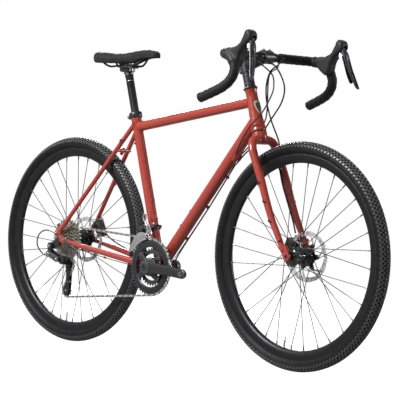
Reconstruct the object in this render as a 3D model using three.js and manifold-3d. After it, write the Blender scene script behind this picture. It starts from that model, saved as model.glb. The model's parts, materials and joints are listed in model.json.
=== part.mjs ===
// Gravel road bicycle: a steel frame with flared drop bars, disc brakes and a two-by-ten drivetrain.
// Millimetres. +X points forward, +Y to the rider's left and +Z up. The origin is on the ground,
// midway between the two axles. The drive side is -Y.
import * as THREE from 'three';
import { mergeVertices } from 'three/addons/utils/BufferGeometryUtils.js';
import Module from 'manifold-3d';

const wasm = await Module();
wasm.setup();

// ---- driving dimensions ----
const WHEELBASE = 1049;
const WHEEL_RADIUS = 355;
const TYRE_SECTION = 22.2;
const BB_DROP = 70;
const CHAINSTAY_LENGTH = 441;
const SEAT_ANGLE = THREE.MathUtils.degToRad(73.8);
const SEAT_TUBE_LENGTH = 532;
const HEAD_ANGLE = THREE.MathUtils.degToRad(72.3);
const FORK_OFFSET = 63;
const HEAD_TUBE_START = 423;
const HEAD_TUBE_LENGTH = 138.5;
const STEM_START = 193;
const STEM_HEIGHT = 44;
const GAP = 0.4;

const SEAT_TUBE_R = 16.5;
const TOP_TUBE_R = 16.5;
const DOWN_TUBE_R = 19.5;
const HEAD_TUBE_TOP_R = 18.2;
const HEAD_TUBE_BOTTOM_R = 23.5;
const CHAINSTAY_R = 8;
const SEATSTAY_R = 7.5;
const STEERER_R = 14.3;
const SEATPOST_R = 13.6;
const BB_SHELL_R = 21;
const BB_SHELL_HALF = 34;
const SPINDLE_R = 12;

const PITCH = 12.7;
const CHAIN_Y = -46;
const CHAIN_INSIDE = 1.2;
const CHAIN_OUTSIDE = 2.2;
const CHAIN_HALF_HEIGHT = 4;
const TOOTH_HALF = 0.8;
const BIG_RING_TEETH = 46;
const SMALL_RING_TEETH = 30;
const SMALL_RING_Y = -38;
const COG_TEETH = [11, 13, 15, 17, 19, 21, 24, 27, 31, 35];
const CHAIN_COG = 6;
const COG_SPACING = 3.7;
const PULLEY_TEETH = 11;
const CRANK_LENGTH = 170;
const CRANK_DROP = THREE.MathUtils.degToRad(3.9);

const WHEEL_FACETS = 32;
const RIM_HALF = 12.2;
const RIM_INNER_R = 288.4;
const RIM_OUTER_R = 317;
const SPOKE_COUNT = 32;
const SPOKE_R = 1.4;
const FLANGE_R = 29;
const ROTOR_R = 80;
const REAR_DROPOUT_IN = 71;
const REAR_DROPOUT_OUT = 79;
const FORK_DROPOUT_IN = 50.4;
const FORK_DROPOUT_OUT = 61;
const REAR_ROTOR_Y = 55.7;
const FRONT_ROTOR_Y = 40;

const BAR_R = 11.9;
const BAR_CLAMP_R = 15.9;
const TAPE_R = 15.6;
const HOOD_Y = 210;

const V = (x, y, z) => new THREE.Vector3(x, y, z);
const REAR_AXLE = V(-WHEELBASE / 2, 0, WHEEL_RADIUS);
const FRONT_AXLE = V(WHEELBASE / 2, 0, WHEEL_RADIUS);
const BB = V(REAR_AXLE.x + Math.sqrt(CHAINSTAY_LENGTH ** 2 - BB_DROP ** 2), 0, WHEEL_RADIUS - BB_DROP);

// ---- places along the seat tube, the steering axis and the down tube ----
const SEAT_DIR = V(-Math.cos(SEAT_ANGLE), 0, Math.sin(SEAT_ANGLE));
const SEAT_FRONT = V(Math.sin(SEAT_ANGLE), 0, Math.cos(SEAT_ANGLE));
const STEER_DIR = V(-Math.cos(HEAD_ANGLE), 0, Math.sin(HEAD_ANGLE));
const STEER_FRONT = V(Math.sin(HEAD_ANGLE), 0, Math.cos(HEAD_ANGLE));
const STEER_FOOT = FRONT_AXLE.clone().addScaledVector(STEER_FRONT, -FORK_OFFSET);

function onSeatTube(distance, forward = 0, y = 0) {
  const place = BB.clone().addScaledVector(SEAT_DIR, distance).addScaledVector(SEAT_FRONT, forward);
  place.y += y;
  return place;
}

function onSteerer(height, forward = 0, y = 0) {
  const distance = HEAD_TUBE_START + height;
  const place = STEER_FOOT.clone().addScaledVector(STEER_DIR, distance);
  place.addScaledVector(STEER_FRONT, forward);
  place.y += y;
  return place;
}

const DOWN_TUBE_TOP = onSteerer(38);
const DOWN_DIR = DOWN_TUBE_TOP.clone().sub(BB).normalize();
const DOWN_UP = V(-DOWN_DIR.z, 0, DOWN_DIR.x);
const TOP_TUBE_REAR = onSeatTube(482);
const TOP_TUBE_FRONT = onSteerer(98);

function onDownTube(distance, up = 0, y = 0) {
  const place = BB.clone().addScaledVector(DOWN_DIR, distance).addScaledVector(DOWN_UP, up);
  place.y += y;
  return place;
}

// ---- solids ----
function signedVolume(positions, index) {
  const a = V(0, 0, 0);
  const b = V(0, 0, 0);
  const c = V(0, 0, 0);
  let total = 0;
  for (let i = 0; i < index.length; i += 3) {
    a.fromArray(positions, index[i] * 3);
    b.fromArray(positions, index[i + 1] * 3);
    c.fromArray(positions, index[i + 2] * 3);
    total += a.dot(b.cross(c));
  }
  return total;
}

function solid(geometry) {
  const bare = geometry.clone();
  bare.deleteAttribute('normal');
  bare.deleteAttribute('uv');
  const merged = mergeVertices(bare, 1e-3);
  const positions = new Float32Array(merged.attributes.position.array);
  const index = Uint32Array.from(merged.index.array);
  if (signedVolume(positions, index) < 0) {
    index.reverse();
  }
  return new wasm.Manifold(new wasm.Mesh({ numProp: 3, vertProperties: positions, triVerts: index }));
}

function join(...pieces) {
  return pieces.flat().reduce((whole, piece) => whole.add(piece));
}

function cut(body, ...tools) {
  return tools.flat().reduce((whole, tool) => whole.subtract(tool), body);
}

function geometryOf(body) {
  const mesh = body.getMesh();
  const geometry = new THREE.BufferGeometry();
  geometry.setAttribute('position', new THREE.BufferAttribute(mesh.vertProperties, 3));
  geometry.setIndex(new THREE.BufferAttribute(mesh.triVerts, 1));
  geometry.computeVertexNormals();
  return geometry;
}

// A straight rod from a to b, tapering from radiusA to radiusB.
function rod(a, b, radiusA, radiusB = radiusA, sides = 12) {
  const length = a.distanceTo(b);
  const geometry = new THREE.CylinderGeometry(radiusB, radiusA, length, sides);
  const turn = new THREE.Quaternion().setFromUnitVectors(V(0, 1, 0), b.clone().sub(a).normalize());
  geometry.applyQuaternion(turn);
  const middle = a.clone().add(b).multiplyScalar(0.5);
  geometry.translate(middle.x, middle.y, middle.z);
  return solid(geometry);
}

function evenRod(a, b, radius, sides = 12) {
  return rod(a, b, radius, radius, sides);
}

// A rod that lies across the bicycle, from yLow to yHigh.
function crossRod(x, z, yLow, yHigh, radius, sides = 12) {
  return evenRod(V(x, yLow, z), V(x, yHigh, z), radius, sides);
}

// A round bar along a smooth curve through the points.
function sweep(points, radius, steps, sides = 8) {
  const outline = new THREE.Shape();
  for (let i = 0; i < sides; i += 1) {
    const angle = (2 * Math.PI * i) / sides;
    const x = radius * Math.cos(angle);
    const y = radius * Math.sin(angle);
    if (i === 0) {
      outline.moveTo(x, y);
    } else {
      outline.lineTo(x, y);
    }
  }
  const path = new THREE.CatmullRomCurve3(points, false, 'centripetal');
  return solid(new THREE.ExtrudeGeometry(outline, { steps, extrudePath: path, bevelEnabled: false }));
}

// A flat plate in a fore-and-aft plane. Points are [x, z]; holes are [x, z, radius].
function plate(points, yLow, yHigh, holes = []) {
  const shape = new THREE.Shape(points.map(([x, z]) => new THREE.Vector2(x, z)));
  for (const [x, z, radius] of holes) {
    const hole = new THREE.Path();
    hole.absarc(x, z, radius, 0, 2 * Math.PI, true);
    shape.holes.push(hole);
  }
  const options = { depth: yHigh - yLow, bevelEnabled: false, curveSegments: 8 };
  const geometry = new THREE.ExtrudeGeometry(shape, options);
  geometry.rotateX(Math.PI / 2);
  geometry.translate(0, yHigh, 0);
  return solid(geometry);
}

function block(centre, size, pitch = 0) {
  const geometry = new THREE.BoxGeometry(size.x, size.y, size.z);
  geometry.rotateY(pitch);
  geometry.translate(centre.x, centre.y, centre.z);
  return solid(geometry);
}

// A solid of revolution about the Y axis. Profile points are [radius, y] and the loop closes itself.
function turned(profile, segments) {
  const points = profile.map(([radius, y]) => new THREE.Vector2(radius, y));
  points.push(points[0].clone());
  return solid(new THREE.LatheGeometry(points, segments));
}

function ring(outer, inner, yLow, yHigh, segments) {
  return turned([[inner, yLow], [outer, yLow], [outer, yHigh], [inner, yHigh]], segments);
}

function collar(a, b, outer, inner, sides = 16) {
  const along = b.clone().sub(a).normalize();
  const before = a.clone().addScaledVector(along, -2);
  const beyond = b.clone().addScaledVector(along, 2);
  return cut(evenRod(a, b, outer, sides), evenRod(before, beyond, inner, sides));
}

const circlePoints = (cx, cz, radius, from, to, count) => {
  const points = [];
  for (let i = 0; i <= count; i += 1) {
    const angle = from + ((to - from) * i) / count;
    points.push([cx + radius * Math.cos(angle), cz + radius * Math.sin(angle)]);
  }
  return points;
};

const pitchRadius = (teeth) => PITCH / (2 * Math.sin(Math.PI / teeth));

// A toothed ring round the origin, with a round opening.
function sprocket(teeth, openingR, yLow, yHigh) {
  const root = pitchRadius(teeth) - 3.6;
  const tip = pitchRadius(teeth) + 2.4;
  const points = [];
  for (let i = 0; i < teeth; i += 1) {
    const step = (2 * Math.PI) / teeth;
    const middle = step * (i + 0.5);
    points.push([root * Math.cos(step * i), root * Math.sin(step * i)]);
    points.push([tip * Math.cos(middle), tip * Math.sin(middle)]);
  }
  return plate(points, yLow, yHigh, [[0, 0, openingR]]);
}

// ---- scene graph ----
const FINISHES = {
  paint: { color: 0xd84a38, roughness: 0.3, metalness: 0 },
  blackMetal: { color: 0x1b1b1d, roughness: 0.45, metalness: 0.4 },
  blackPlastic: { color: 0x161617, roughness: 0.5, metalness: 0 },
  rubber: { color: 0x222224, roughness: 0.75, metalness: 0 },
  tape: { color: 0x1a1a1b, roughness: 0.8, metalness: 0 },
  silver: { color: 0xa9abad, roughness: 0.3, metalness: 0.9 },
  steel: { color: 0x8b8d90, roughness: 0.35, metalness: 0.9 },
  cover: { color: 0x18181a, roughness: 0.6, metalness: 0 },
};

const bicycle = new THREE.Group();

function addTo(group, name, finish, body) {
  const mesh = new THREE.Mesh(geometryOf(body), new THREE.MeshStandardMaterial(FINISHES[finish]));
  mesh.name = name;
  group.add(mesh);
}

const add = (name, finish, body) => addTo(bicycle, name, finish, body);

// ---- frame ----
function rearDropout(side) {
  const edges = [REAR_DROPOUT_IN * side, REAR_DROPOUT_OUT * side];
  const low = Math.min(...edges);
  const high = Math.max(...edges);
  const outline = [
    ...circlePoints(REAR_AXLE.x, REAR_AXLE.z, 17, -0.9, -4.2, 8),
    [REAR_AXLE.x + 4, REAR_AXLE.z + 44],
    [REAR_AXLE.x + 20, REAR_AXLE.z + 44],
    [REAR_AXLE.x + 24, REAR_AXLE.z + 12],
    [REAR_AXLE.x + 46, REAR_AXLE.z + 3],
    [REAR_AXLE.x + 44, REAR_AXLE.z - 16],
  ];
  return plate(outline, low, high);
}

function rearTriangle(side) {
  const chainstay = sweep([
    V(BB.x - 8, 20 * side, BB.z + 1),
    V(-150, 26.5 * side, BB.z + 9),
    V(-187, 34.5 * side, BB.z + 14),
    V(-300, 51 * side, BB.z + 33),
    V(-440, 68 * side, BB.z + 56),
    V(-495, 74 * side, BB.z + 66),
  ], CHAINSTAY_R, 9, 8);
  const seatstay = evenRod(onSeatTube(488, -6, 16 * side), V(-514, 74.5 * side, 388), SEATSTAY_R, 8);
  return join(chainstay, seatstay, rearDropout(side));
}

function tubeBoss(place, outward, height) {
  const root = place.clone().addScaledVector(outward, -6);
  return evenRod(root, place.clone().addScaledVector(outward, height), 6, 8);
}

const BOTTLE_SPACING = 64;
const DOWN_BOSS = 168;
const SEAT_BOSS = 161;
const BOSS_HEIGHT = 3.5;

function frameBosses() {
  const bosses = [];
  for (const step of [0, BOTTLE_SPACING]) {
    bosses.push(tubeBoss(onDownTube(DOWN_BOSS + step, DOWN_TUBE_R), DOWN_UP, BOSS_HEIGHT));
    bosses.push(tubeBoss(onSeatTube(SEAT_BOSS + step, SEAT_TUBE_R), SEAT_FRONT, BOSS_HEIGHT));
  }
  return bosses;
}

function cableStops() {
  const down = DOWN_UP.clone().negate();
  const start = onDownTube(470, -DOWN_TUBE_R, 0);
  const stop = rod(start.clone().addScaledVector(down, -5), start.clone().addScaledVector(down, 5), 6, 4, 8);
  const guide = block(V(BB.x, 0, BB.z - BB_SHELL_R), V(16, 26, 7));
  return [stop, guide];
}

const SEAT_BORE_DEPTH = 250;

function frame() {
  const shell = crossRod(BB.x, BB.z, -BB_SHELL_HALF, BB_SHELL_HALF, BB_SHELL_R, 16);
  const seatTube = evenRod(BB, onSeatTube(SEAT_TUBE_LENGTH), SEAT_TUBE_R, 14);
  const topTube = evenRod(TOP_TUBE_REAR, TOP_TUBE_FRONT, TOP_TUBE_R);
  const downTube = evenRod(BB, DOWN_TUBE_TOP, DOWN_TUBE_R);
  const headTube = rod(onSteerer(0), onSteerer(HEAD_TUBE_LENGTH), HEAD_TUBE_BOTTOM_R, HEAD_TUBE_TOP_R, 14);
  const bridge = crossRod(-289, 668, -30, 30, 6.5, 8);
  const lowBridge = crossRod(-146, BB.z + 8, -26, 26, 6, 8);
  const bridgeBoss = evenRod(V(-292, 0, 666), V(-303, 0, 653), 6, 8);
  const body = join(
    shell, seatTube, topTube, downTube, headTube, bridge, lowBridge, bridgeBoss,
    rearTriangle(-1), rearTriangle(1), frameBosses(), cableStops(),
  );
  const seatBoreEnd = onSeatTube(SEAT_TUBE_LENGTH - SEAT_BORE_DEPTH);
  return cut(
    body,
    evenRod(onSteerer(-5), onSteerer(HEAD_TUBE_LENGTH + 5), STEERER_R + 1.2),
    evenRod(seatBoreEnd, onSeatTube(SEAT_TUBE_LENGTH + 5), SEATPOST_R + 2 * GAP, 14),
    crossRod(BB.x, BB.z, -BB_SHELL_HALF - 1, BB_SHELL_HALF + 1, SPINDLE_R + 4, 14),
    crossRod(REAR_AXLE.x, REAR_AXLE.z, -90, 90, 6.6, 14),
  );
}

const UPPER_CUP_HEIGHT = 11;
const UPPER_CUP_R = 22;
const LOWER_CUP_HEIGHT = 4.4;

function headsetCup(low, high, radius) {
  return collar(onSteerer(low), onSteerer(high), radius, STEERER_R + 0.6, 18);
}

const COLLAR_LOW = 514;
const COLLAR_HIGH = 531;

function seatClamp() {
  const middle = (COLLAR_LOW + COLLAR_HIGH) / 2;
  const [low, high] = [onSeatTube(COLLAR_LOW), onSeatTube(COLLAR_HIGH)];
  const band = collar(low, high, SEAT_TUBE_R + 4.5, SEAT_TUBE_R + GAP, 18);
  const lug = evenRod(onSeatTube(middle, -23.5, -8), onSeatTube(middle, -23.5, 8), 5.5, 10);
  const slot = evenRod(onSeatTube(COLLAR_LOW - 4, -21), onSeatTube(COLLAR_HIGH + 4, -21), 1.2, 6);
  return cut(join(band, lug), slot);
}

function bottomBracket() {
  const sleeve = ring(SPINDLE_R + 3, SPINDLE_R + 1, -BB_SHELL_HALF - 4, BB_SHELL_HALF + 4, 14);
  const cups = [-1, 1].map((side) => {
    const inner = side * (BB_SHELL_HALF + GAP);
    const outer = side * (BB_SHELL_HALF + 8);
    return ring(22, SPINDLE_R + 1, Math.min(inner, outer), Math.max(inner, outer), 14);
  });
  return join(sleeve, cups);
}

// ---- chain path round the big ring, the cog and the two jockey wheels ----
const GUIDE_PULLEY = V(-495, CHAIN_Y, 268);
const TENSION_PULLEY = V(-503, CHAIN_Y, 179);
const CHAIN_WHEELS = [
  { x: BB.x, z: BB.z, radius: pitchRadius(BIG_RING_TEETH), turn: 1 },
  { x: REAR_AXLE.x, z: REAR_AXLE.z, radius: pitchRadius(COG_TEETH[CHAIN_COG]), turn: 1 },
  { x: GUIDE_PULLEY.x, z: GUIDE_PULLEY.z, radius: pitchRadius(PULLEY_TEETH), turn: -1 },
  { x: TENSION_PULLEY.x, z: TENSION_PULLEY.z, radius: pitchRadius(PULLEY_TEETH), turn: 1 },
];

// The heading of the straight run from one wheel to the next.
function runHeading(from, to) {
  const dx = to.x - from.x;
  const dz = to.z - from.z;
  const offset = (from.turn * from.radius - to.turn * to.radius) / Math.hypot(dx, dz);
  return Math.atan2(dz, dx) + Math.asin(offset);
}

function contactPoint(wheel, heading, shift = 0) {
  const reach = wheel.turn * wheel.radius + shift;
  return [wheel.x + reach * Math.sin(heading), wheel.z - reach * Math.cos(heading)];
}

const chainHeadings = CHAIN_WHEELS.map((wheel, i) => runHeading(wheel, CHAIN_WHEELS[(i + 1) % 4]));

// The chain's loop, pushed outwards by shift.
function chainLoop(shift) {
  const points = [];
  CHAIN_WHEELS.forEach((wheel, i) => {
    const arriving = chainHeadings[(i + 3) % 4];
    let sweepAngle = (chainHeadings[i] - arriving) * wheel.turn;
    sweepAngle = ((sweepAngle % (2 * Math.PI)) + 2 * Math.PI) % (2 * Math.PI);
    const steps = Math.max(3, Math.ceil(sweepAngle / THREE.MathUtils.degToRad(18)));
    for (let k = 0; k <= steps; k += 1) {
      points.push(contactPoint(wheel, arriving + (wheel.turn * sweepAngle * k) / steps, shift));
    }
  });
  return points;
}

function sidePlate(yLow, yHigh) {
  const outer = plate(chainLoop(CHAIN_HALF_HEIGHT), yLow, yHigh);
  const inner = plate(chainLoop(-CHAIN_HALF_HEIGHT), yLow - 1, yHigh + 1);
  return cut(outer, inner);
}

// Rollers on one straight run, standing clear of the wheels at both ends.
function runRollers(from, to, heading) {
  const [x0, z0] = contactPoint(from, heading);
  const [x1, z1] = contactPoint(to, heading);
  const length = Math.hypot(x1 - x0, z1 - z0);
  const rollers = [];
  for (let d = 3 * PITCH; d < length - 3 * PITCH; d += 5 * PITCH) {
    const x = x0 + ((x1 - x0) * d) / length;
    const z = z0 + ((z1 - z0) * d) / length;
    rollers.push(crossRod(x, z, CHAIN_Y - CHAIN_OUTSIDE + 0.2, CHAIN_Y + CHAIN_OUTSIDE - 0.2, 2.2, 6));
  }
  return rollers;
}

function chain() {
  return join(
    sidePlate(CHAIN_Y - CHAIN_OUTSIDE, CHAIN_Y - CHAIN_INSIDE),
    sidePlate(CHAIN_Y + CHAIN_INSIDE, CHAIN_Y + CHAIN_OUTSIDE),
    runRollers(CHAIN_WHEELS[0], CHAIN_WHEELS[1], chainHeadings[0]),
    runRollers(CHAIN_WHEELS[3], CHAIN_WHEELS[0], chainHeadings[3]),
  );
}

// ---- rear derailleur ----
const HANGER_BOLT = V(-556, 0, 331);
const CAGE_HALF_GAP = 4.6;
const CAGE_PLATE = 1.4;

function derailleurHanger() {
  return plate([
    [REAR_AXLE.x - 2, REAR_AXLE.z - 19],
    [REAR_AXLE.x - 18, REAR_AXLE.z - 14],
    [HANGER_BOLT.x - 8, HANGER_BOLT.z + 6],
    [HANGER_BOLT.x - 8, HANGER_BOLT.z - 7],
    [HANGER_BOLT.x + 3, HANGER_BOLT.z - 9],
    [REAR_AXLE.x + 2, REAR_AXLE.z - 27],
  ], -77, -71);
}

function derailleurLink() {
  const knuckle = crossRod(HANGER_BOLT.x, HANGER_BOLT.z, -90, -77.4, 11, 14);
  const link = plate([
    [HANGER_BOLT.x - 4, HANGER_BOLT.z - 6],
    [HANGER_BOLT.x + 8, HANGER_BOLT.z - 3],
    [GUIDE_PULLEY.x + 4, GUIDE_PULLEY.z + 28],
    [GUIDE_PULLEY.x - 6, GUIDE_PULLEY.z + 12],
    [HANGER_BOLT.x + 8, HANGER_BOLT.z - 34],
  ], -88, -80);
  return join(knuckle, link);
}

function derailleurKnuckle() {
  const inside = CHAIN_Y - CAGE_HALF_GAP - CAGE_PLATE - GAP;
  const { x, z } = GUIDE_PULLEY;
  return join(crossRod(x - 3, z + 13, -79.6, inside, 12.5, 14), block(V(x + 8, -68, z + 16), V(24, 12, 16)));
}

function stadium(a, b, radius) {
  const slope = Math.atan2(b.z - a.z, b.x - a.x);
  return [
    ...circlePoints(a.x, a.z, radius, slope + Math.PI / 2, slope + (3 * Math.PI) / 2, 6),
    ...circlePoints(b.x, b.z, radius, slope - Math.PI / 2, slope + Math.PI / 2, 6),
  ];
}

function derailleurCage() {
  const outline = stadium(TENSION_PULLEY, GUIDE_PULLEY, 10);
  const near = CHAIN_Y - CAGE_HALF_GAP;
  const far = CHAIN_Y + CAGE_HALF_GAP;
  const axles = [GUIDE_PULLEY, TENSION_PULLEY].map(({ x, z }) => crossRod(x, z, near - 1, far + 1, 2.5, 8));
  return join(plate(outline, near - CAGE_PLATE, near), plate(outline, far, far + CAGE_PLATE), axles);
}

function pulley() {
  const teeth = sprocket(PULLEY_TEETH, 3.2, -TOOTH_HALF, TOOTH_HALF);
  return join(teeth, ring(9, 3.2, -3.8, 3.8, 8));
}

// ---- front derailleur ----
const FD_HEIGHT = 132;
const FD_PIVOT = V(-113, -27, 421);

function frontDerailleurClamp() {
  const inner = SEAT_TUBE_R + GAP;
  const band = collar(onSeatTube(FD_HEIGHT - 8), onSeatTube(FD_HEIGHT + 10), SEAT_TUBE_R + 4, inner);
  const mount = block(onSeatTube(FD_HEIGHT + 2, 4, -26), V(20, 16, 16));
  const hinge = crossRod(FD_PIVOT.x + 3, FD_PIVOT.z - 3, -30, -22, 6, 10);
  const hollow = evenRod(onSeatTube(FD_HEIGHT - 20), onSeatTube(FD_HEIGHT + 30), inner, 16);
  return cut(join(band, mount, hinge), hollow);
}

function cageArc(inner, outer, from, to) {
  const points = circlePoints(BB.x, BB.z, outer, from, to, 6);
  return points.concat(circlePoints(BB.x, BB.z, inner, to, from, 6));
}

function frontDerailleurCage() {
  const top = THREE.MathUtils.degToRad(100);
  const tail = THREE.MathUtils.degToRad(154);
  const outer = plate(cageArc(90, 109, top, tail), CHAIN_Y - 7, CHAIN_Y - 5.6);
  const inner = plate(cageArc(84, 112, top, tail), CHAIN_Y + 4.4, CHAIN_Y + 5.8);
  const bridges = [[107, 104], [104, 151]].map(([radius, degrees]) => {
    const angle = THREE.MathUtils.degToRad(degrees);
    const x = BB.x + radius * Math.cos(angle);
    const z = BB.z + radius * Math.sin(angle);
    return crossRod(x, z, CHAIN_Y - 6, CHAIN_Y + 5, 2.2, 8);
  });
  const arm = block(V(FD_PIVOT.x + 3, CHAIN_Y + 8, FD_PIVOT.z - 16), V(14, 5, 34));
  return join(outer, inner, bridges, arm);
}

// ---- brakes ----
const REAR_CALIPER = V(-462, REAR_ROTOR_Y, 401);
const FRONT_CALIPER = V(454, FRONT_ROTOR_Y, 386);

const REAR_CALIPER_PITCH = 0.94;
const FRONT_CALIPER_PITCH = -1.16;
const CALIPER_SIZE = V(46, 24, 30);
const PAD_SLOT = 4.2;

// A block that straddles the disc, with a slot for it and a roof that joins the two halves.
function caliper(centre, pitch) {
  const body = block(centre, CALIPER_SIZE, pitch);
  const piston = crossRod(centre.x, centre.z, centre.y - 15, centre.y + 13, 12);
  const slot = block(centre, V(70, PAD_SLOT, 60), pitch);
  const roofRise = CALIPER_SIZE.z / 2;
  const away = V(Math.sin(pitch) * roofRise, 0, Math.cos(pitch) * roofRise);
  const roof = block(centre.clone().add(away), V(CALIPER_SIZE.x, CALIPER_SIZE.y, 8), pitch);
  return join(cut(join(body, piston), slot), roof);
}

function brakeArm(centre, yLow, reach) {
  const hub = crossRod(centre.x, centre.z, yLow, yLow + 5, 8, 12);
  const tip = centre.clone().add(reach);
  return join(hub, evenRod(V(centre.x, yLow + 2.5, centre.z), V(tip.x, yLow + 2.5, tip.z), 2.5, 8));
}

// ---- fork ----
const LEG_R = 12;
const LEG_PATH = [
  [343, 8, 715], [352, 42, 708], [363, 55, 684], [376, 57, 655], [406, 57.5, 590], [431, 57.5, 527],
  [459, 57.5, 464], [476, 57, 434], [510, 56.5, 372],
];
const FORK_BOSSES = [[410, 580], [433.5, 521.5], [459.5, 462.5]];
const FORK_BOSS_Y = 72;
const CROWN_LOW = -30;
const CROWN_HIGH = -4.8;

function forkSide(side) {
  const leg = sweep(LEG_PATH.map(([x, y, z]) => V(x, y * side, z)), LEG_R, 10, 8);
  const edges = [FORK_DROPOUT_IN * side, FORK_DROPOUT_OUT * side];
  const tip = plate([
    ...circlePoints(FRONT_AXLE.x, FRONT_AXLE.z, 14, -2.6, 1.2, 8),
    [FRONT_AXLE.x - 4, FRONT_AXLE.z + 36],
    [FRONT_AXLE.x - 24, FRONT_AXLE.z + 26],
  ], Math.min(...edges), Math.max(...edges));
  const bosses = FORK_BOSSES.map(([x, z]) => evenRod(V(x, 58 * side, z), V(x, FORK_BOSS_Y * side, z), 5, 8));
  return join(leg, tip, bosses);
}

function fork() {
  const steererTop = onSteerer(STEM_START + STEM_HEIGHT - 1.5);
  const steerer = evenRod(onSteerer(CROWN_LOW), steererTop, STEERER_R, 16);
  const crownRace = rod(onSteerer(CROWN_LOW), onSteerer(CROWN_HIGH), 19, HEAD_TUBE_BOTTOM_R - 0.5, 16);
  const body = join(steerer, crownRace, forkSide(-1), forkSide(1));
  return cut(body, crossRod(FRONT_AXLE.x, FRONT_AXLE.z, -80, 80, 6.4, 12));
}

// ---- cockpit ----
const BAR_CENTRE = V(355, 0, 972);
const TAPE_START = 60;
const BAR_END_POINTS = [
  [BAR_CENTRE.x, TAPE_START, BAR_CENTRE.z], [BAR_CENTRE.x, 150, BAR_CENTRE.z], [360, 182, 971.7],
  [372, 201, 970.5], [391, 213, 967.5], [414, 217, 958], [431, 220.5, 938], [437, 226, 910], [426, 233, 884],
  [402, 240, 864], [365, 245.5, 848], [321, 249.4, 832.4],
];

const barPoints = (side) => BAR_END_POINTS.map(([x, y, z]) => V(x, y * side, z));

// One side of the bar, from the end of the tape beside the stem to the end of the drop.
function barSide(side, radius) {
  return sweep(barPoints(side), radius, 14, 8);
}

// A rod that carries the end of the drop on by some length.
function barOnwards(side, radius, length) {
  const points = barPoints(side);
  const heading = new THREE.CatmullRomCurve3(points, false, 'centripetal').getTangent(1);
  const last = points[points.length - 1];
  const before = last.clone().addScaledVector(heading, -1);
  return evenRod(before, last.clone().addScaledVector(heading, length), radius, 8);
}

function handlebar() {
  const { x, z } = BAR_CENTRE;
  const middle = crossRod(x, z, -TAPE_START - 1, TAPE_START + 1, BAR_R, 12);
  return join(middle, crossRod(x, z, -36, 36, BAR_CLAMP_R, 16), barSide(-1, BAR_R), barSide(1, BAR_R));
}

function barTape(side) {
  const boreR = BAR_R + 2 * GAP;
  const mouth = [side * (TAPE_START - 2), side * (TAPE_START + 8)];
  const opening = crossRod(BAR_CENTRE.x, BAR_CENTRE.z, Math.min(...mouth), Math.max(...mouth), boreR);
  const hollow = join(barSide(side, boreR), barOnwards(side, boreR, 0.6), opening);
  const outside = join(barSide(side, TAPE_R), barOnwards(side, TAPE_R, 4));
  return cut(outside, hollow);
}

const STEM_END_R = 19;
const CLAMP_HALF = 20;
const CLAMP_R = 21.5;
const CUTTER = 60;

// The stem, and the plate that closes round the front of the bar.
function stemParts() {
  const low = onSteerer(STEM_START + GAP);
  const high = onSteerer(STEM_START + STEM_HEIGHT);
  const middle = onSteerer(STEM_START + STEM_HEIGHT / 2);
  const along = BAR_CENTRE.clone().sub(middle).normalize();
  const tilt = -Math.atan2(along.z, along.x);
  const steererBore = evenRod(onSteerer(STEM_START - 5), onSteerer(STEM_START + 50), STEERER_R + 2 * GAP);
  const { x, z } = BAR_CENTRE;
  const barBore = crossRod(x, z, -CLAMP_HALF - 5, CLAMP_HALF + 5, BAR_CLAMP_R + 2 * GAP, 14);
  const barClamp = crossRod(x, z, -CLAMP_HALF, CLAMP_HALF, CLAMP_R, 14);
  const uncut = join(evenRod(low, high, STEM_END_R, 14), rod(middle, BAR_CENTRE, 16, 15, 14), barClamp);
  const whole = cut(uncut, steererBore, barBore);
  const half = (forward) => block(
    BAR_CENTRE.clone().addScaledVector(along, forward), V(CUTTER, CUTTER, CUTTER + 20), tilt,
  );
  const front = half(CUTTER / 2 + 2);
  const back = half(-CUTTER / 2 + 2 + GAP);
  return { stem: cut(whole, front), faceplate: cut(barClamp, barBore, back) };
}

const LEVER_PIVOT = V(489, 0, 1008);
const HOOD_OUTLINE = [
  [392, 986], [425, 990], [450, 1001], [464, 1022], [476, 1038], [491, 1039], [503, 1026],
  [502, 1006], [478, 988], [459, 966], [451, 940], [434, 922], [410, 934], [392, 954],
];
const BRACKET_OUTLINE = [
  [402, 979], [428, 982], [457, 994], [471, 1015], [480, 1029], [489, 1030], [495, 1020],
  [494, 1004], [474, 994], [453, 970], [445, 945], [433, 932], [413, 942], [402, 958],
];

function hoodParts(side) {
  const centreY = HOOD_Y * side;
  const wrap = barSide(side, TAPE_R + 2 * GAP);
  const leverRoom = block(V(508, centreY, 997), V(68, 17, 48));
  const pinHole = crossRod(LEVER_PIVOT.x, LEVER_PIVOT.z, centreY - 20, centreY + 20, 3, 10);
  const bracket = plate(BRACKET_OUTLINE, centreY - 12, centreY + 12);
  const room = plate(HOOD_OUTLINE.map(([x, z], i) => {
    const [bx, bz] = BRACKET_OUTLINE[i];
    const length = Math.hypot(x - bx, z - bz);
    return [bx + ((x - bx) * 0.6) / length, bz + ((z - bz) * 0.6) / length];
  }), centreY - 12.5, centreY + 12.5);
  const hood = cut(plate(HOOD_OUTLINE, centreY - 17, centreY + 17), room, wrap, leverRoom);
  return { bracket: cut(bracket, wrap, leverRoom, pinHole), hood };
}

function brakeLever(side) {
  const centreY = HOOD_Y * side;
  const hub = crossRod(LEVER_PIVOT.x, LEVER_PIVOT.z, centreY - 7, centreY + 7, 6.5, 12);
  const pin = crossRod(LEVER_PIVOT.x, LEVER_PIVOT.z, centreY - 11.5, centreY + 11.5, 2.5, 8);
  const blade = sweep([
    V(LEVER_PIVOT.x, centreY, LEVER_PIVOT.z), V(506, centreY, 990), V(518, 213 * side, 957),
    V(525, 225 * side, 924), V(527, 239 * side, 891),
  ], 5.2, 8, 8);
  return join(hub, pin, blade);
}

const PADDLE_PIVOT = V(491, 0, 988);

function shiftPaddle(side) {
  const centreY = HOOD_Y * side;
  return sweep([
    V(PADDLE_PIVOT.x, centreY, PADDLE_PIVOT.z), V(500, centreY, 962), V(509, 218 * side, 930),
    V(512, 226 * side, 906),
  ], 4, 6, 6);
}

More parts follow.
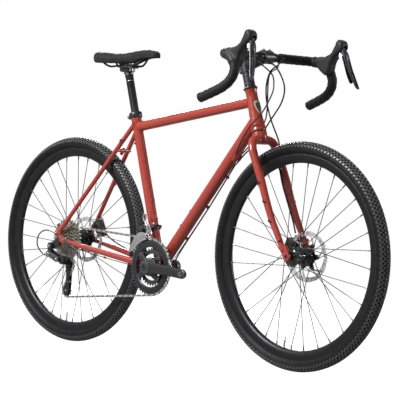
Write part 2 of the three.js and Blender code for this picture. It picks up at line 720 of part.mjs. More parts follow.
// ---- wheels ----
const TYRE_INSIDE_R = 19.6;
const OUTSIDE_REACH = 2.26;
const INSIDE_REACH = 2.16;

function tyre() {
  const centre = WHEEL_RADIUS - TYRE_SECTION;
  const outside = circlePoints(centre, 0, TYRE_SECTION, -OUTSIDE_REACH, OUTSIDE_REACH, 6);
  const inside = circlePoints(centre, 0, TYRE_INSIDE_R, INSIDE_REACH, -INSIDE_REACH, 3);
  const bead = [[318, 12.4], [317.7, 9.3], [312.2, 8.2], [319.5, 6.4]];
  const mirrored = bead.map(([radius, y]) => [radius, -y]).reverse();
  return turned([...outside, ...bead, ...inside, ...mirrored], WHEEL_FACETS);
}

function rim() {
  const half = [[RIM_INNER_R, 6], [300, RIM_HALF], [RIM_OUTER_R, RIM_HALF], [RIM_OUTER_R, 9.8], [308, 9.8]];
  const mirrored = half.map(([radius, y]) => [radius, -y]).reverse();
  return turned([...half, ...mirrored], WHEEL_FACETS);
}

// Three-cross lacing: each spoke leaves its flange along the tangent and meets the nipple band.
function spokes(leftFlangeY, rightFlangeY) {
  const bandOuter = RIM_INNER_R - 1.2;
  const pieces = [ring(bandOuter, bandOuter - 1.6, -4, 4, WHEEL_FACETS)];
  const crossing = (3 * 4 * Math.PI) / SPOKE_COUNT;
  for (let i = 0; i < SPOKE_COUNT; i += 1) {
    const left = i % 2 === 0;
    const flangeY = left ? leftFlangeY : rightFlangeY;
    const leading = Math.floor(i / 2) % 2 === 0 ? 1 : -1;
    const rimAngle = (2 * Math.PI * i) / SPOKE_COUNT;
    const hubAngle = rimAngle + leading * crossing;
    const hubY = flangeY + leading * 4;
    const start = V(FLANGE_R * Math.cos(hubAngle), hubY, FLANGE_R * Math.sin(hubAngle));
    const reach = bandOuter - 0.8;
    const end = V(reach * Math.cos(rimAngle), left ? 2 : -2, reach * Math.sin(rimAngle));
    pieces.push(evenRod(start, end, SPOKE_R, 3));
  }
  return join(pieces);
}

function hubShell(leftFlangeY, rightFlangeY, leftEnd, rightEnd) {
  const flange = (y) => [[15, y - 3.4], [FLANGE_R + 3, y - 0.8], [FLANGE_R + 3, y + 0.8], [15, y + 3.4]];
  return turned([
    [6.8, rightEnd], [11, rightEnd], [15, rightEnd + 6], ...flange(rightFlangeY), ...flange(leftFlangeY),
    [15, leftEnd - 6], [11, leftEnd], [6.8, leftEnd],
  ], 14);
}

function rotor(y) {
  const half = 0.9;
  const band = ring(ROTOR_R, ROTOR_R - 15, y - half, y + half, 24);
  const centreRing = ring(25, 15.8, y - half, y + half, 14);
  const pieces = [band, centreRing];
  const arms = 5;
  for (let i = 0; i < arms; i += 1) {
    const angle = (2 * Math.PI * i) / arms;
    const start = V(22 * Math.cos(angle), y, 22 * Math.sin(angle));
    const end = V((ROTOR_R - 13) * Math.cos(angle + 0.5), y, (ROTOR_R - 13) * Math.sin(angle + 0.5));
    const arm = block(V(0, 0, 0), V(start.distanceTo(end), 2 * half, 5));
    const heading = Math.atan2(end.z - start.z, end.x - start.x);
    const middle = start.clone().add(end).multiplyScalar(0.5);
    const degrees = THREE.MathUtils.radToDeg(-heading);
    pieces.push(arm.rotate([0, degrees, 0]).translate([middle.x, y, middle.z]));
  }
  return join(pieces);
}

function cassette() {
  const places = COG_TEETH.map((teeth, i) => (
    { radius: pitchRadius(teeth), y: CHAIN_Y + (i - CHAIN_COG) * COG_SPACING }
  ));
  const outerFace = places[0].y - TOOTH_HALF;
  const innerFace = places[places.length - 1].y + TOOTH_HALF;
  const profile = [[16, outerFace]];
  places.forEach(({ radius, y }, i) => {
    const stepR = i === CHAIN_COG ? places[i - 1].radius - 1 : radius;
    const end = i + 1 < places.length ? y + COG_SPACING - TOOTH_HALF : innerFace;
    profile.push([stepR, y - TOOTH_HALF], [stepR, end]);
  });
  profile.push([16, innerFace]);
  const drivenCog = sprocket(COG_TEETH[CHAIN_COG], 30, CHAIN_Y - TOOTH_HALF, CHAIN_Y + TOOTH_HALF);
  return join(turned(profile, 14), drivenCog);
}

// ---- cranks ----
const CRANK_FACE = 76;
const SPIDER_ARMS = 5;
const BOLT_CIRCLE_R = 55;

function crankArm(side) {
  const reach = side < 0 ? CRANK_LENGTH : -CRANK_LENGTH;
  const end = V(reach * Math.cos(CRANK_DROP), 0, -reach * Math.sin(CRANK_DROP));
  const outline = stadium(V(0, 0, 0), end, 13);
  const faces = [side * (CRANK_FACE - 13), side * CRANK_FACE];
  const arm = plate(outline, Math.min(...faces), Math.max(...faces), [[end.x, end.z, 7.2]]);
  const bossFaces = [side * 58, side * CRANK_FACE];
  const boss = crossRod(0, 0, Math.min(...bossFaces), Math.max(...bossFaces), 20, 14);
  return join(arm, boss);
}

function rightCrank() {
  const spindle = crossRod(0, 0, -60, 73, SPINDLE_R, 14);
  const pieces = [crankArm(-1), spindle, crossRod(0, 0, -59, -49, 27, 14)];
  for (let i = 0; i < SPIDER_ARMS; i += 1) {
    const angle = (2 * Math.PI * i) / SPIDER_ARMS;
    const tip = V(BOLT_CIRCLE_R * Math.cos(angle), -51, BOLT_CIRCLE_R * Math.sin(angle));
    pieces.push(rod(V(0, -53.5, 0), V(tip.x, -51.2, tip.z), 6, 3.6, 4));
    pieces.push(crossRod(tip.x, tip.z, -53.5, -47.5, 6.5, 6));
  }
  return join(pieces);
}

function leftCrank() {
  return cut(crankArm(1), crossRod(0, 0, 50, 80, SPINDLE_R + 2 * GAP, 14));
}

// ---- seatpost and saddle ----
const SEATPOST_BOTTOM = 400;
const SEATPOST_TOP = 668;
const RAIL_HALF = 22;
const RAIL_Z = 953;
const SADDLE_HALF_WIDTHS = [
  [-404, 44], [-396, 62], [-375, 71], [-345, 72.5], [-315, 66], [-285, 50], [-255, 35], [-220, 25],
  [-180, 20.5], [-150, 17.5], [-138, 11],
];

function seatpost() {
  const post = evenRod(onSeatTube(SEATPOST_BOTTOM), onSeatTube(SEATPOST_TOP), SEATPOST_R, 14);
  const head = block(onSeatTube(SEATPOST_TOP + 12, 2), V(46, 34, 24), THREE.MathUtils.degToRad(2));
  const cradle = block(V(-278, 0, RAIL_Z + 1), V(40, 58, 18));
  const grooves = [-1, 1].map((side) => (
    evenRod(V(-330, RAIL_HALF * side, RAIL_Z), V(-220, RAIL_HALF * side, RAIL_Z), 4.8, 8)
  ));
  return cut(join(post, head, cradle), grooves);
}

function saddleRails() {
  const side = (sign) => [
    V(-386, 34 * sign, 971), V(-366, 29 * sign, 964), V(-340, RAIL_HALF * sign, RAIL_Z),
    V(-318, RAIL_HALF * sign, RAIL_Z), V(-238, RAIL_HALF * sign, RAIL_Z), V(-216, RAIL_HALF * sign, RAIL_Z),
    V(-180, 13 * sign, 965), V(-163, 6 * sign, 970),
  ];
  return sweep([...side(-1), ...side(1).reverse()], 3.5, 26, 6);
}

function saddleOutline(inset) {
  const left = SADDLE_HALF_WIDTHS.map(([x, half]) => [x + (x < -300 ? inset : -inset), half - inset]);
  const right = left.map(([x, half]) => [x, -half]).reverse();
  return [...left, ...right];
}

function saddleSlab(inset, zLow, zHigh) {
  const shape = new THREE.Shape(saddleOutline(inset).map(([x, y]) => new THREE.Vector2(x, y)));
  const geometry = new THREE.ExtrudeGeometry(shape, { depth: zHigh - zLow, bevelEnabled: false });
  geometry.translate(0, 0, zLow);
  return solid(geometry);
}

// ---- cables ----
// Each housing leaves the end of the bar tape beside the stem and loops down in front of the head tube.
const REAR_SHIFT_PATH = [
  [361, -57, 957], [380, -34, 940], [396, -12, 915], [404, -12, 885], [402, -18, 853], [376, -30, 798],
  [322, -30, 750], [280, -24, 700],
];
const FRONT_SHIFT_PATH = [
  [358, 57, 957], [368, 40, 940], [358, 14, 912], [344, 26, 813], [332, 30, 772], [300, 29, 722],
  [272, 24, 690],
];
const REAR_BRAKE_PATH = [
  [371, -57, 966], [390, -30, 955], [398, 5, 938], [404, 36, 885], [390, 42, 833], [350, 30, 768],
  [305, 22, 705], [262, 14, 664], [244, 12, 645],
];
const FRONT_BRAKE_PATH = [
  [371, 57, 966], [384, 28, 950], [378, -2, 926], [366, -5, 885], [357, 8, 835], [362, 27, 775],
  [386, 41, 706], [384, 42, 668], [401, 42, 590], [427, 42, 527], [455, 42, 464], [456, 50, 440],
  [456, 56, 424],
];
const DERAILLEUR_LOOP_PATH = [
  [-480, -84, 351], [-520, -89, 374], [-568, -95, 384], [-606, -95, 366], [-616, -92, 330], [-596, -86, 303],
  [-578, -84, 296],
];
const HOUSING_R = 2.4;

function housing(path) {
  return sweep(path.map(([x, y, z]) => V(x, y, z)), HOUSING_R, 2 * path.length - 2, 5);
}

// ---- assembly: parts that stay with the frame ----
add('frame', 'paint', frame());
add('seat_clamp', 'blackMetal', seatClamp());
add('derailleur_hanger', 'blackMetal', derailleurHanger());
add('headset_upper_cup', 'blackMetal', headsetCup(
  HEAD_TUBE_LENGTH + GAP, HEAD_TUBE_LENGTH + UPPER_CUP_HEIGHT, UPPER_CUP_R,
));
add('headset_lower_cup', 'blackMetal', headsetCup(-LOWER_CUP_HEIGHT, -GAP, HEAD_TUBE_BOTTOM_R));
add('front_derailleur_clamp', 'blackMetal', frontDerailleurClamp());
add('front_derailleur_cage', 'silver', frontDerailleurCage());
add('chain', 'steel', chain());
add('rear_derailleur_link', 'silver', derailleurLink());
add('rear_derailleur_knuckle', 'blackMetal', derailleurKnuckle());
add('rear_derailleur_cage', 'blackMetal', derailleurCage());
add('rear_brake_caliper', 'blackMetal', caliper(REAR_CALIPER, REAR_CALIPER_PITCH));
add('rear_brake_arm', 'blackMetal', brakeArm(REAR_CALIPER, 69.4, V(-8, 0, 27)));
add('rear_thru_axle', 'blackMetal', crossRod(
  REAR_AXLE.x, REAR_AXLE.z, -REAR_DROPOUT_OUT, REAR_DROPOUT_OUT + 4, 6.1,
));

const placedPulley = (name, place) => {
  const holder = new THREE.Group();
  holder.position.copy(place);
  addTo(holder, name, 'blackPlastic', pulley());
  bicycle.add(holder);
};
placedPulley('guide_pulley', GUIDE_PULLEY);
placedPulley('tension_pulley', TENSION_PULLEY);

// ---- assembly: parts that steer ----
const { stem, faceplate } = stemParts();
add('fork', 'paint', fork());
add('headset_spacers', 'blackMetal', collar(
  onSteerer(HEAD_TUBE_LENGTH + 11.5), onSteerer(STEM_START), 17.4, STEERER_R + GAP, 16,
));
add('stem', 'blackMetal', stem);
add('stem_faceplate', 'blackMetal', faceplate);
add('headset_top_cap', 'blackMetal', rod(
  onSteerer(STEM_START + STEM_HEIGHT + GAP), onSteerer(STEM_START + STEM_HEIGHT + 8), 18, 16.5, 16,
));
add('handlebar', 'blackMetal', handlebar());
add('front_brake_caliper', 'blackMetal', caliper(FRONT_CALIPER, FRONT_CALIPER_PITCH));
add('front_brake_arm', 'blackMetal', brakeArm(FRONT_CALIPER, 53.6, V(2, 0, 27)));
add('front_thru_axle', 'blackMetal', crossRod(
  FRONT_AXLE.x, FRONT_AXLE.z, -FORK_DROPOUT_OUT, FORK_DROPOUT_OUT + 3, 5.9, 12,
));
for (const [name, side] of [['right', -1], ['left', 1]]) {
  const { bracket, hood } = hoodParts(side);
  add(`bar_tape_${name}`, 'tape', barTape(side));
  add(`${name}_lever_body`, 'blackPlastic', bracket);
  add(`${name}_hood`, 'rubber', hood);
  add(`${name}_brake_lever`, 'blackMetal', brakeLever(side));
  add(`${name}_shift_paddle`, 'blackMetal', shiftPaddle(side));
}

// ---- assembly: wheels, cassette and cranks turn about their own axles ----
function wheel(prefix, axle, hub, rotorY) {
  const holder = new THREE.Group();
  holder.position.copy(axle);
  addTo(holder, `${prefix}_tyre`, 'rubber', tyre());
  addTo(holder, `${prefix}_rim`, 'blackMetal', rim());
  addTo(holder, `${prefix}_spokes`, 'steel', spokes(hub.leftFlange, hub.rightFlange));
  const shell = hubShell(hub.leftFlange, hub.rightFlange, hub.leftEnd, hub.rightEnd);
  addTo(holder, `${prefix}_hub`, 'blackMetal', shell);
  addTo(holder, `${prefix}_rotor`, 'steel', rotor(rotorY));
  bicycle.add(holder);
  return holder;
}

wheel('front', FRONT_AXLE, { leftFlange: 24, rightFlange: -32, leftEnd: 50, rightEnd: -50 }, FRONT_ROTOR_Y);
wheel('rear', REAR_AXLE, { leftFlange: 34, rightFlange: -20, leftEnd: 70.6, rightEnd: -29 }, REAR_ROTOR_Y);

const cassetteHolder = new THREE.Group();
cassetteHolder.position.copy(REAR_AXLE);
addTo(cassetteHolder, 'cassette', 'silver', cassette());
bicycle.add(cassetteHolder);

const bracketHolder = new THREE.Group();
bracketHolder.position.copy(BB);
addTo(bracketHolder, 'bottom_bracket', 'blackMetal', bottomBracket());
bicycle.add(bracketHolder);

const crankHolder = new THREE.Group();
crankHolder.position.copy(BB);
addTo(crankHolder, 'right_crank', 'blackMetal', rightCrank());
addTo(crankHolder, 'left_crank', 'blackMetal', leftCrank());
const outerRing = sprocket(BIG_RING_TEETH, 49, CHAIN_Y - 0.85, CHAIN_Y + 0.85);
const innerRing = sprocket(SMALL_RING_TEETH, 40, SMALL_RING_Y - 1, SMALL_RING_Y + 1);
addTo(crankHolder, 'outer_chainring', 'blackMetal', outerRing);
addTo(crankHolder, 'inner_chainring', 'steel', innerRing);
bicycle.add(crankHolder);

// ---- assembly: seatpost, saddle and cables ----
add('seatpost', 'blackMetal', seatpost());
add('saddle_rails', 'steel', saddleRails());
add('saddle_shell', 'blackPlastic', saddleSlab(3, 976, 981));
add('saddle_pad', 'cover', saddleSlab(0, 981.5, 1006));
add('rear_shift_housing', 'blackPlastic', housing(REAR_SHIFT_PATH));
add('front_shift_housing', 'blackPlastic', housing(FRONT_SHIFT_PATH));
add('rear_brake_housing', 'blackPlastic', housing(REAR_BRAKE_PATH));
add('front_brake_housing', 'blackPlastic', housing(FRONT_BRAKE_PATH));
add('rear_derailleur_loop', 'blackPlastic', housing(DERAILLEUR_LOOP_PATH));

export default bicycle;
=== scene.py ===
"""Looks for the road bicycle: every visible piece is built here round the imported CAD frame.

Shapes are worked out in millimetres and turned into metres when a piece is made.
+X is forward, +Y is the rider's left and +Z is up; the drive side is -Y.
"""
import json
import math

import bmesh
import bpy
import numpy as np
from mathutils import Matrix, Vector


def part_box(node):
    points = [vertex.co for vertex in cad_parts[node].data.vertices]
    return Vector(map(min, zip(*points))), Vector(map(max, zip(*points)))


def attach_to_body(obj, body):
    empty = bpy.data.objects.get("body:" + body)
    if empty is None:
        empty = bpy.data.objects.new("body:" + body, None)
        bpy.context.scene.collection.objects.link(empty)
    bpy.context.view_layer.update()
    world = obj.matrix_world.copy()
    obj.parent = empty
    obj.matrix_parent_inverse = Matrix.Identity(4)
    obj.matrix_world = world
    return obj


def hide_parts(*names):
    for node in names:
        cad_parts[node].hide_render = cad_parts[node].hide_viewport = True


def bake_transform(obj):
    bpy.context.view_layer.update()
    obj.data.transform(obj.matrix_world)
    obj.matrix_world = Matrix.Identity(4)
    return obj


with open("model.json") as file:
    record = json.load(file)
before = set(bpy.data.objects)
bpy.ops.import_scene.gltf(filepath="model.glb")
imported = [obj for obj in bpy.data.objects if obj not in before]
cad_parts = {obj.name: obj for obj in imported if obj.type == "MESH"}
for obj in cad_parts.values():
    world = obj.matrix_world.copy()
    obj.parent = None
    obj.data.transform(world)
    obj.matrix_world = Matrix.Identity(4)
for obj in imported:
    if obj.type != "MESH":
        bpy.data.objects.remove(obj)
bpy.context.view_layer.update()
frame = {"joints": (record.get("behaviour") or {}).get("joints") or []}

MM = 0.001
TAU = 2 * math.pi
JOINTS = {joint["name"]: joint for joint in frame["joints"]}


def V(x, y, z):
    return Vector((x, y, z))


def joint_at(name):
    return Vector(JOINTS[name]["pos_m"]) / MM


def joint_axis(name):
    return Vector(JOINTS[name]["axis"]).normalized()


def box_mm(node):
    low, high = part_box(node)
    return low / MM, high / MM


# ---- places taken from the frame ----
REAR = joint_at("rear_wheel_spin")
FRONT = joint_at("front_wheel_spin")
BB = joint_at("crank_spin")
GUIDE = joint_at("guide_pulley_spin")
TENSION = joint_at("tension_pulley_spin")
HEAD_LOW = joint_at("steering")
STEER_UP = joint_axis("steering")
STEER_FWD = V(STEER_UP.z, 0, -STEER_UP.x)
SEAT_UP = joint_axis("seatpost_height")
SEAT_FWD = V(SEAT_UP.z, 0, -SEAT_UP.x)
WHEEL_R = (box_mm("front_tyre")[1] - box_mm("front_tyre")[0]).x / 2
TYRE_HALF = (box_mm("front_tyre")[1] - box_mm("front_tyre")[0]).y / 2
CHAIN_Y = GUIDE.y
ORIGIN = V(0, 0, 0)
UP = V(0, 0, 1)
ACROSS = V(0, 1, 0)
TO_DRIVE_SIDE = -ACROSS

HEAD_LENGTH = 138.5
STEM_FOOT = 193
STEM_HEIGHT = 44
SEAT_TUBE = 532
SEAT_TUBE_R = 16.5
TOP_TUBE_R = 16.5
DOWN_TUBE_R = 19.5
BB_HALF = 34
BB_R = 21
COLLAR_LOW, COLLAR_HIGH = 514, 531.5
LINK_PITCH = 12.7
CRANK_REACH = 170
CRANK_DROP = 3.9
RING_BOLT_R = 56


def to_side(points, side, y=0.0):
    """Points given for the left side, on the side asked for (-1 is the right)."""
    return [V(px, y + py * side, pz) for px, py, pz in points]


def on_steerer(height, forward=0, y=0):
    return HEAD_LOW + STEER_UP * height + STEER_FWD * forward + ACROSS * y


def on_seat_tube(distance, forward=0, y=0):
    return BB + SEAT_UP * distance + SEAT_FWD * forward + ACROSS * y


DOWN_TOP = on_steerer(38)
DOWN_DIR = (DOWN_TOP - BB).normalized()
DOWN_UP = V(-DOWN_DIR.z, 0, DOWN_DIR.x)
TOP_REAR = on_seat_tube(482)
TOP_FRONT = on_steerer(98)


def on_down_tube(distance, up=0, y=0):
    return BB + DOWN_DIR * distance + DOWN_UP * up + ACROSS * y


def under_down_tube(distance, gap, y):
    """A place below the down tube, gap clear of it."""
    return on_down_tube(distance, -DOWN_TUBE_R - gap, y)


# ---- materials ----
class Nodes:
    """The node tree of a material or a world, under construction."""

    def __init__(self, owner):
        owner.use_nodes = True
        self.owner = owner
        self.tree = owner.node_tree
        self.shader = self.tree.nodes.get("Principled BSDF")
        self.place = self.add("ShaderNodeTexCoord").outputs

    def add(self, kind, inputs=None, **settings):
        node = self.tree.nodes.new(kind)
        for key, value in settings.items():
            setattr(node, key, value)
        for key, value in (inputs or {}).items():
            node.inputs[key].default_value = value
        return node

    def link(self, source, target):
        self.tree.links.new(source, target)

    def noise(self, scale, detail=3.0, stretch=(1, 1, 1)):
        mapping = self.add("ShaderNodeMapping", {"Scale": stretch})
        self.link(self.place["Object"], mapping.inputs["Vector"])
        node = self.add("ShaderNodeTexNoise", {"Scale": scale, "Detail": detail})
        self.link(mapping.outputs["Vector"], node.inputs["Vector"])
        return node.outputs["Fac"]

    def cells(self, scale):
        node = self.add("ShaderNodeTexVoronoi", {"Scale": scale}, feature="SMOOTH_F1")
        self.link(self.place["Object"], node.inputs["Vector"])
        return node.outputs["Distance"]

    def spread(self, source, low, high, start=0.3, end=0.7):
        """Maps source from the range start to end onto the range low to high."""
        node = self.add("ShaderNodeMapRange",
                        {"From Min": start, "From Max": end, "To Min": low, "To Max": high})
        self.link(source, node.inputs["Value"])
        return node.outputs["Result"]

    def mix(self, factor, first, second):
        node = self.add("ShaderNodeMix", data_type="RGBA")
        for value, socket in ((first, node.inputs["A"]), (second, node.inputs["B"])):
            if isinstance(value, tuple):
                socket.default_value = (*value, 1)
            else:
                self.link(value, socket)
        self.link(factor, node.inputs["Factor"])
        return node.outputs["Result"]

    def bump(self, height, strength, distance):
        node = self.add("ShaderNodeBump", {"Strength": strength, "Distance": distance})
        self.link(height, node.inputs["Height"])
        return node.outputs["Normal"]

    def edges(self, low, high):
        """1 on sharp outward edges and 0 elsewhere."""
        return self.spread(self.add("ShaderNodeNewGeometry").outputs["Pointiness"], 0, 1, low, high)

    def show(self, seen, lighting, output):
        """Sends one shader to the camera and another to everything else."""
        choose = self.add("ShaderNodeMixShader")
        self.link(self.add("ShaderNodeLightPath").outputs["Is Camera Ray"], choose.inputs["Fac"])
        self.link(lighting, choose.inputs[1])
        self.link(seen, choose.inputs[2])
        self.link(choose.outputs["Shader"], self.tree.nodes[output].inputs["Surface"])


COAT_ROUGHNESS = 0.12
BUMP_DEPTH = 0.0006


def finish(name, colour, roughness, metallic=0.0, *, coat=0.0, mottle=0.12, mottle_scale=60,
           grain=900, grain_bump=0.15, stretch=(1, 1, 1), leather=None, edge_wear_and_glint=None, sheen=0.0, shine=0.5):
    """A surface with uneven colour and gloss, a fine grain and, if asked, leather cells and lighter edges:
    worn edges, which on the tyre tread are partly a painted highlight.
    """
    n = Nodes(bpy.data.materials.new(name))
    dark = tuple(c * (1 - mottle) for c in colour)
    light = tuple(min(1.0, c * (1 + mottle) + 0.0075 * mottle) for c in colour)
    base = n.mix(n.spread(n.noise(mottle_scale, 4), 0, 1), dark, light)
    # Sharp edges take a lighter colour: wear, and on the tyre tread also a painted highlight standing for
    # glints on the knobs.
    if edge_wear_and_glint:
        base = n.mix(n.edges(0.52, 0.60), base, edge_wear_and_glint)
    n.link(base, n.shader.inputs["Base Color"])
    gloss = n.spread(n.noise(mottle_scale * 2.3, 5, stretch), max(0.03, roughness - 0.07), roughness + 0.07)
    n.link(gloss, n.shader.inputs["Roughness"])
    for key, value in {"Metallic": metallic, "Coat Weight": coat, "Coat Roughness": COAT_ROUGHNESS,
                       "Sheen Weight": sheen, "Specular IOR Level": shine}.items():
        n.shader.inputs[key].default_value = value
    height = n.cells(leather) if leather else n.noise(grain, 4, stretch)
    n.link(n.bump(height, grain_bump, BUMP_DEPTH), n.shader.inputs["Normal"])
    return n.owner


PAINT = finish("coral_paint", (0.43, 0.049, 0.031), 0.30, coat=0.45, mottle=0.05, grain=260,
               grain_bump=0.012)
BLACK = finish("black_anodised", (0.016, 0.016, 0.018), 0.36, 0.5, mottle=0.2, grain=1600,
               grain_bump=0.10, edge_wear_and_glint=(0.09, 0.09, 0.095))
GLOSS_BLACK = finish("gloss_black", (0.018, 0.018, 0.02), 0.16, 0.3, coat=0.6, mottle=0.2,
                     grain_bump=0.02, edge_wear_and_glint=(0.06, 0.06, 0.065))
GREY_ALLOY = finish("grey_alloy", (0.075, 0.077, 0.082), 0.36, 0.7, mottle=0.12,
                    grain=1400, grain_bump=0.12, edge_wear_and_glint=(0.2, 0.2, 0.21))
LEVER_ALLOY = finish("lever_alloy", (0.10, 0.104, 0.112), 0.30, 0.6, coat=0.4, mottle=0.1,
                     grain=1200, grain_bump=0.04, edge_wear_and_glint=(0.30, 0.30, 0.31))
CRANK_GREY = finish("crank_grey", (0.035, 0.036, 0.038), 0.36, 0.4, coat=0.15,
                    mottle=0.12, grain=1400, grain_bump=0.08, edge_wear_and_glint=(0.16, 0.16, 0.17))
LINK_BLUE = finish("link_blue_grey", (0.055, 0.07, 0.10), 0.26, 0.7, grain=800,
                   grain_bump=0.08, edge_wear_and_glint=(0.3, 0.31, 0.33))
SILVER = finish("polished_silver", (0.72, 0.73, 0.75), 0.22, 1.0, mottle=0.08, grain=700,
                grain_bump=0.06, stretch=(1, 6, 1))
STEEL = finish("plated_steel", (0.68, 0.67, 0.65), 0.28, 1.0, mottle=0.22, mottle_scale=160,
               grain=900, grain_bump=0.08)
COG_STEEL = finish("cog_steel", (0.36, 0.34, 0.29), 0.32, 0.9, mottle=0.3, mottle_scale=140,
                   grain=900, grain_bump=0.1, edge_wear_and_glint=(0.95, 0.92, 0.82))
CHAIN_STEEL = finish("chain_steel", (0.78, 0.77, 0.74), 0.30, 0.85, mottle=0.3,
                     mottle_scale=220, grain=1200)
DARK_STEEL = finish("dark_steel", (0.16, 0.155, 0.15), 0.36, 0.9, mottle=0.3,
                    mottle_scale=220, grain=1200)
SPOKE_STEEL = finish("spoke_steel", (0.035, 0.035, 0.037), 0.38, 0.3, mottle=0.15,
                     mottle_scale=80)
ROTOR_STEEL = finish("rotor_steel", (0.66, 0.66, 0.66), 0.36, 0.45, mottle=0.1,
                     mottle_scale=200, grain=500, stretch=(1, 1, 7), grain_bump=0.1)
PLASTIC = finish("black_plastic", (0.014, 0.014, 0.015), 0.42, mottle=0.2, grain=1800,
                 grain_bump=0.08)
CABLE = finish("cable_housing", (0.012, 0.012, 0.013), 0.22, coat=0.4, mottle=0.2,
               grain=1500, grain_bump=0.05)
# The tread's lighter knob edges are partly rubber worn pale and partly a painted highlight for the glints on
# the knob tops.
TYRE = finish("tyre_tread", (0.011, 0.011, 0.012), 0.36, mottle=0.35, mottle_scale=90,
              grain=1300, grain_bump=0.3, edge_wear_and_glint=(0.07, 0.07, 0.07), shine=0.6)
SIDEWALL = finish("tyre_sidewall", (0.011, 0.011, 0.012), 0.48, mottle=0.25, mottle_scale=50,
                  grain=1500, grain_bump=0.22, stretch=(1, 3, 1), shine=0.2)
HOOD = finish("hood_rubber", (0.019, 0.019, 0.021), 0.50, mottle=0.2, leather=1100,
              grain_bump=0.18, sheen=0.06, shine=0.35)
TAPE = finish("bar_tape", (0.012, 0.012, 0.013), 0.55, mottle=0.3, mottle_scale=120,
              leather=900, grain_bump=0.4, sheen=0.08, shine=0.25)
SADDLE = finish("saddle_cover", (0.030, 0.030, 0.032), 0.58, mottle=0.25, mottle_scale=70,
                leather=1250, grain_bump=0.28, sheen=0.02, shine=0.10)
BADGE = finish("badge_rim", (0.52, 0.52, 0.42), 0.36, 0.3, mottle=0.3, mottle_scale=90,
               edge_wear_and_glint=(0.7, 0.7, 0.6))
BADGE_FIELD = finish("badge_field", (0.085, 0.11, 0.075), 0.34, 0.2, mottle=0.5,
                     mottle_scale=90)


# ---- curves and outlines ----
CURVE_STEPS = 16


def curve_point(a, b, c, d, t):
    return 0.5 * (2 * b + (c - a) * t + (2 * a - 5 * b + 4 * c - d) * t ** 2 + (3 * b - a - 3 * c + d)
                  * t ** 3)


def smooth_path(points, count):
    """count points evenly spaced along a Catmull-Rom curve through points."""
    ends = [points[0] * 2 - points[1], *points, points[-1] * 2 - points[-2]]
    dense = []
    for i in range(1, len(ends) - 2):
        dense += [curve_point(*ends[i - 1:i + 3], k / CURVE_STEPS) for k in range(CURVE_STEPS)]
    dense.append(points[-1].copy())
    return even_path(dense, count)


def even_path(dense, count):
    """count points evenly spaced along a line of straight pieces."""
    lengths = [0.0]
    for a, b in zip(dense, dense[1:]):
        lengths.append(lengths[-1] + (b - a).length)
    result = []
    j = 0
    for i in range(count):
        target = lengths[-1] * i / (count - 1)
        while j < len(dense) - 2 and lengths[j + 1] < target:
            j += 1
        span = lengths[j + 1] - lengths[j] or 1
        result.append(dense[j].lerp(dense[j + 1], min(1, (target - lengths[j]) / span)))
    return result


def smooth_loop(points, count):
    """count points [x, z] evenly spaced along a closed curve through points."""
    corners = [V(x, 0, z) for x, z in points]
    dense = []
    for i in range(len(corners)):
        near = [corners[(i + k) % len(corners)] for k in (-1, 0, 1, 2)]
        dense += [curve_point(*near, k / CURVE_STEPS) for k in range(CURVE_STEPS)]
    dense.append(dense[0].copy())
    return [(p.x, p.z) for p in even_path(dense, count + 1)[:-1]]


def inset_outline(loop, inset):
    """The same outline, pulled in by inset."""
    area = sum(a[0] * b[1] - b[0] * a[1] for a, b in zip(loop, loop[1:] + loop[:1]))
    inward = math.copysign(inset, area)
    result = []
    for i, (x, z) in enumerate(loop):
        before, after = loop[i - 1], loop[(i + 1) % len(loop)]
        dx, dz = after[0] - before[0], after[1] - before[1]
        length = math.hypot(dx, dz) or 1
        result.append((x - dz / length * inward, z + dx / length * inward))
    return result


def spot(radius, angle):
    """The point [x, z] at an angle in radians round the origin."""
    return radius * math.cos(angle), radius * math.sin(angle)


def around(radius, angle, y=0.0):
    x, z = spot(radius, angle)
    return V(x, y, z)


def polar(places):
    """Points [x, z] from angles in degrees and distances round the bottom bracket."""
    steps = [spot(radius, math.radians(angle)) for angle, radius in places]
    return [(BB.x + x, BB.z + z) for x, z in steps]


def arc(cx, cz, radius, start, end, count):
    """Points [x, z] on an arc, angles in degrees."""
    steps = [spot(radius, math.radians(start + (end - start) * i / count)) for i in range(count + 1)]
    return [(cx + x, cz + z) for x, z in steps]


def circle(cx, cz, radius, count=20):
    return arc(cx, cz, radius, 0, 360 * (count - 1) / count, count - 1)


def stadium(a, b, radius_a, radius_b):
    """The outline of a link with round ends at a and b."""
    slope = math.degrees(math.atan2(b[1] - a[1], b[0] - a[0]))
    return arc(*a, radius_a, slope + 90, slope + 270, 10) + arc(*b, radius_b, slope - 90, slope + 90, 10)


def pitch_radius(teeth):
    return LINK_PITCH / (2 * math.sin(math.pi / teeth))


def tooth_outline(teeth, phase):
    """A sprocket's edge: a rounded valley for each roller and a narrow flat-topped tooth between."""
    radius = pitch_radius(teeth)
    step = TAU / teeth
    points = []
    for i in range(teeth):
        for share, height in ((-0.14, -3.7), (0.0, -4.1), (0.14, -3.7), (0.30, -0.6), (0.43, 2.7),
                              (0.57, 2.7), (0.70, -0.6)):
            points.append(spot(radius + height, phase + step * (i + share)))
    return points


# ---- mesh building ----
def new_object(name, data):
    obj = bpy.data.objects.new(name, data)
    bpy.context.scene.collection.objects.link(obj)
    return obj


def mesh_as_shown(obj):
    """The mesh an object has after its curve settings or modifiers are applied."""
    bpy.context.view_layer.update()
    return bpy.data.meshes.new_from_object(obj.evaluated_get(bpy.context.evaluated_depsgraph_get()))


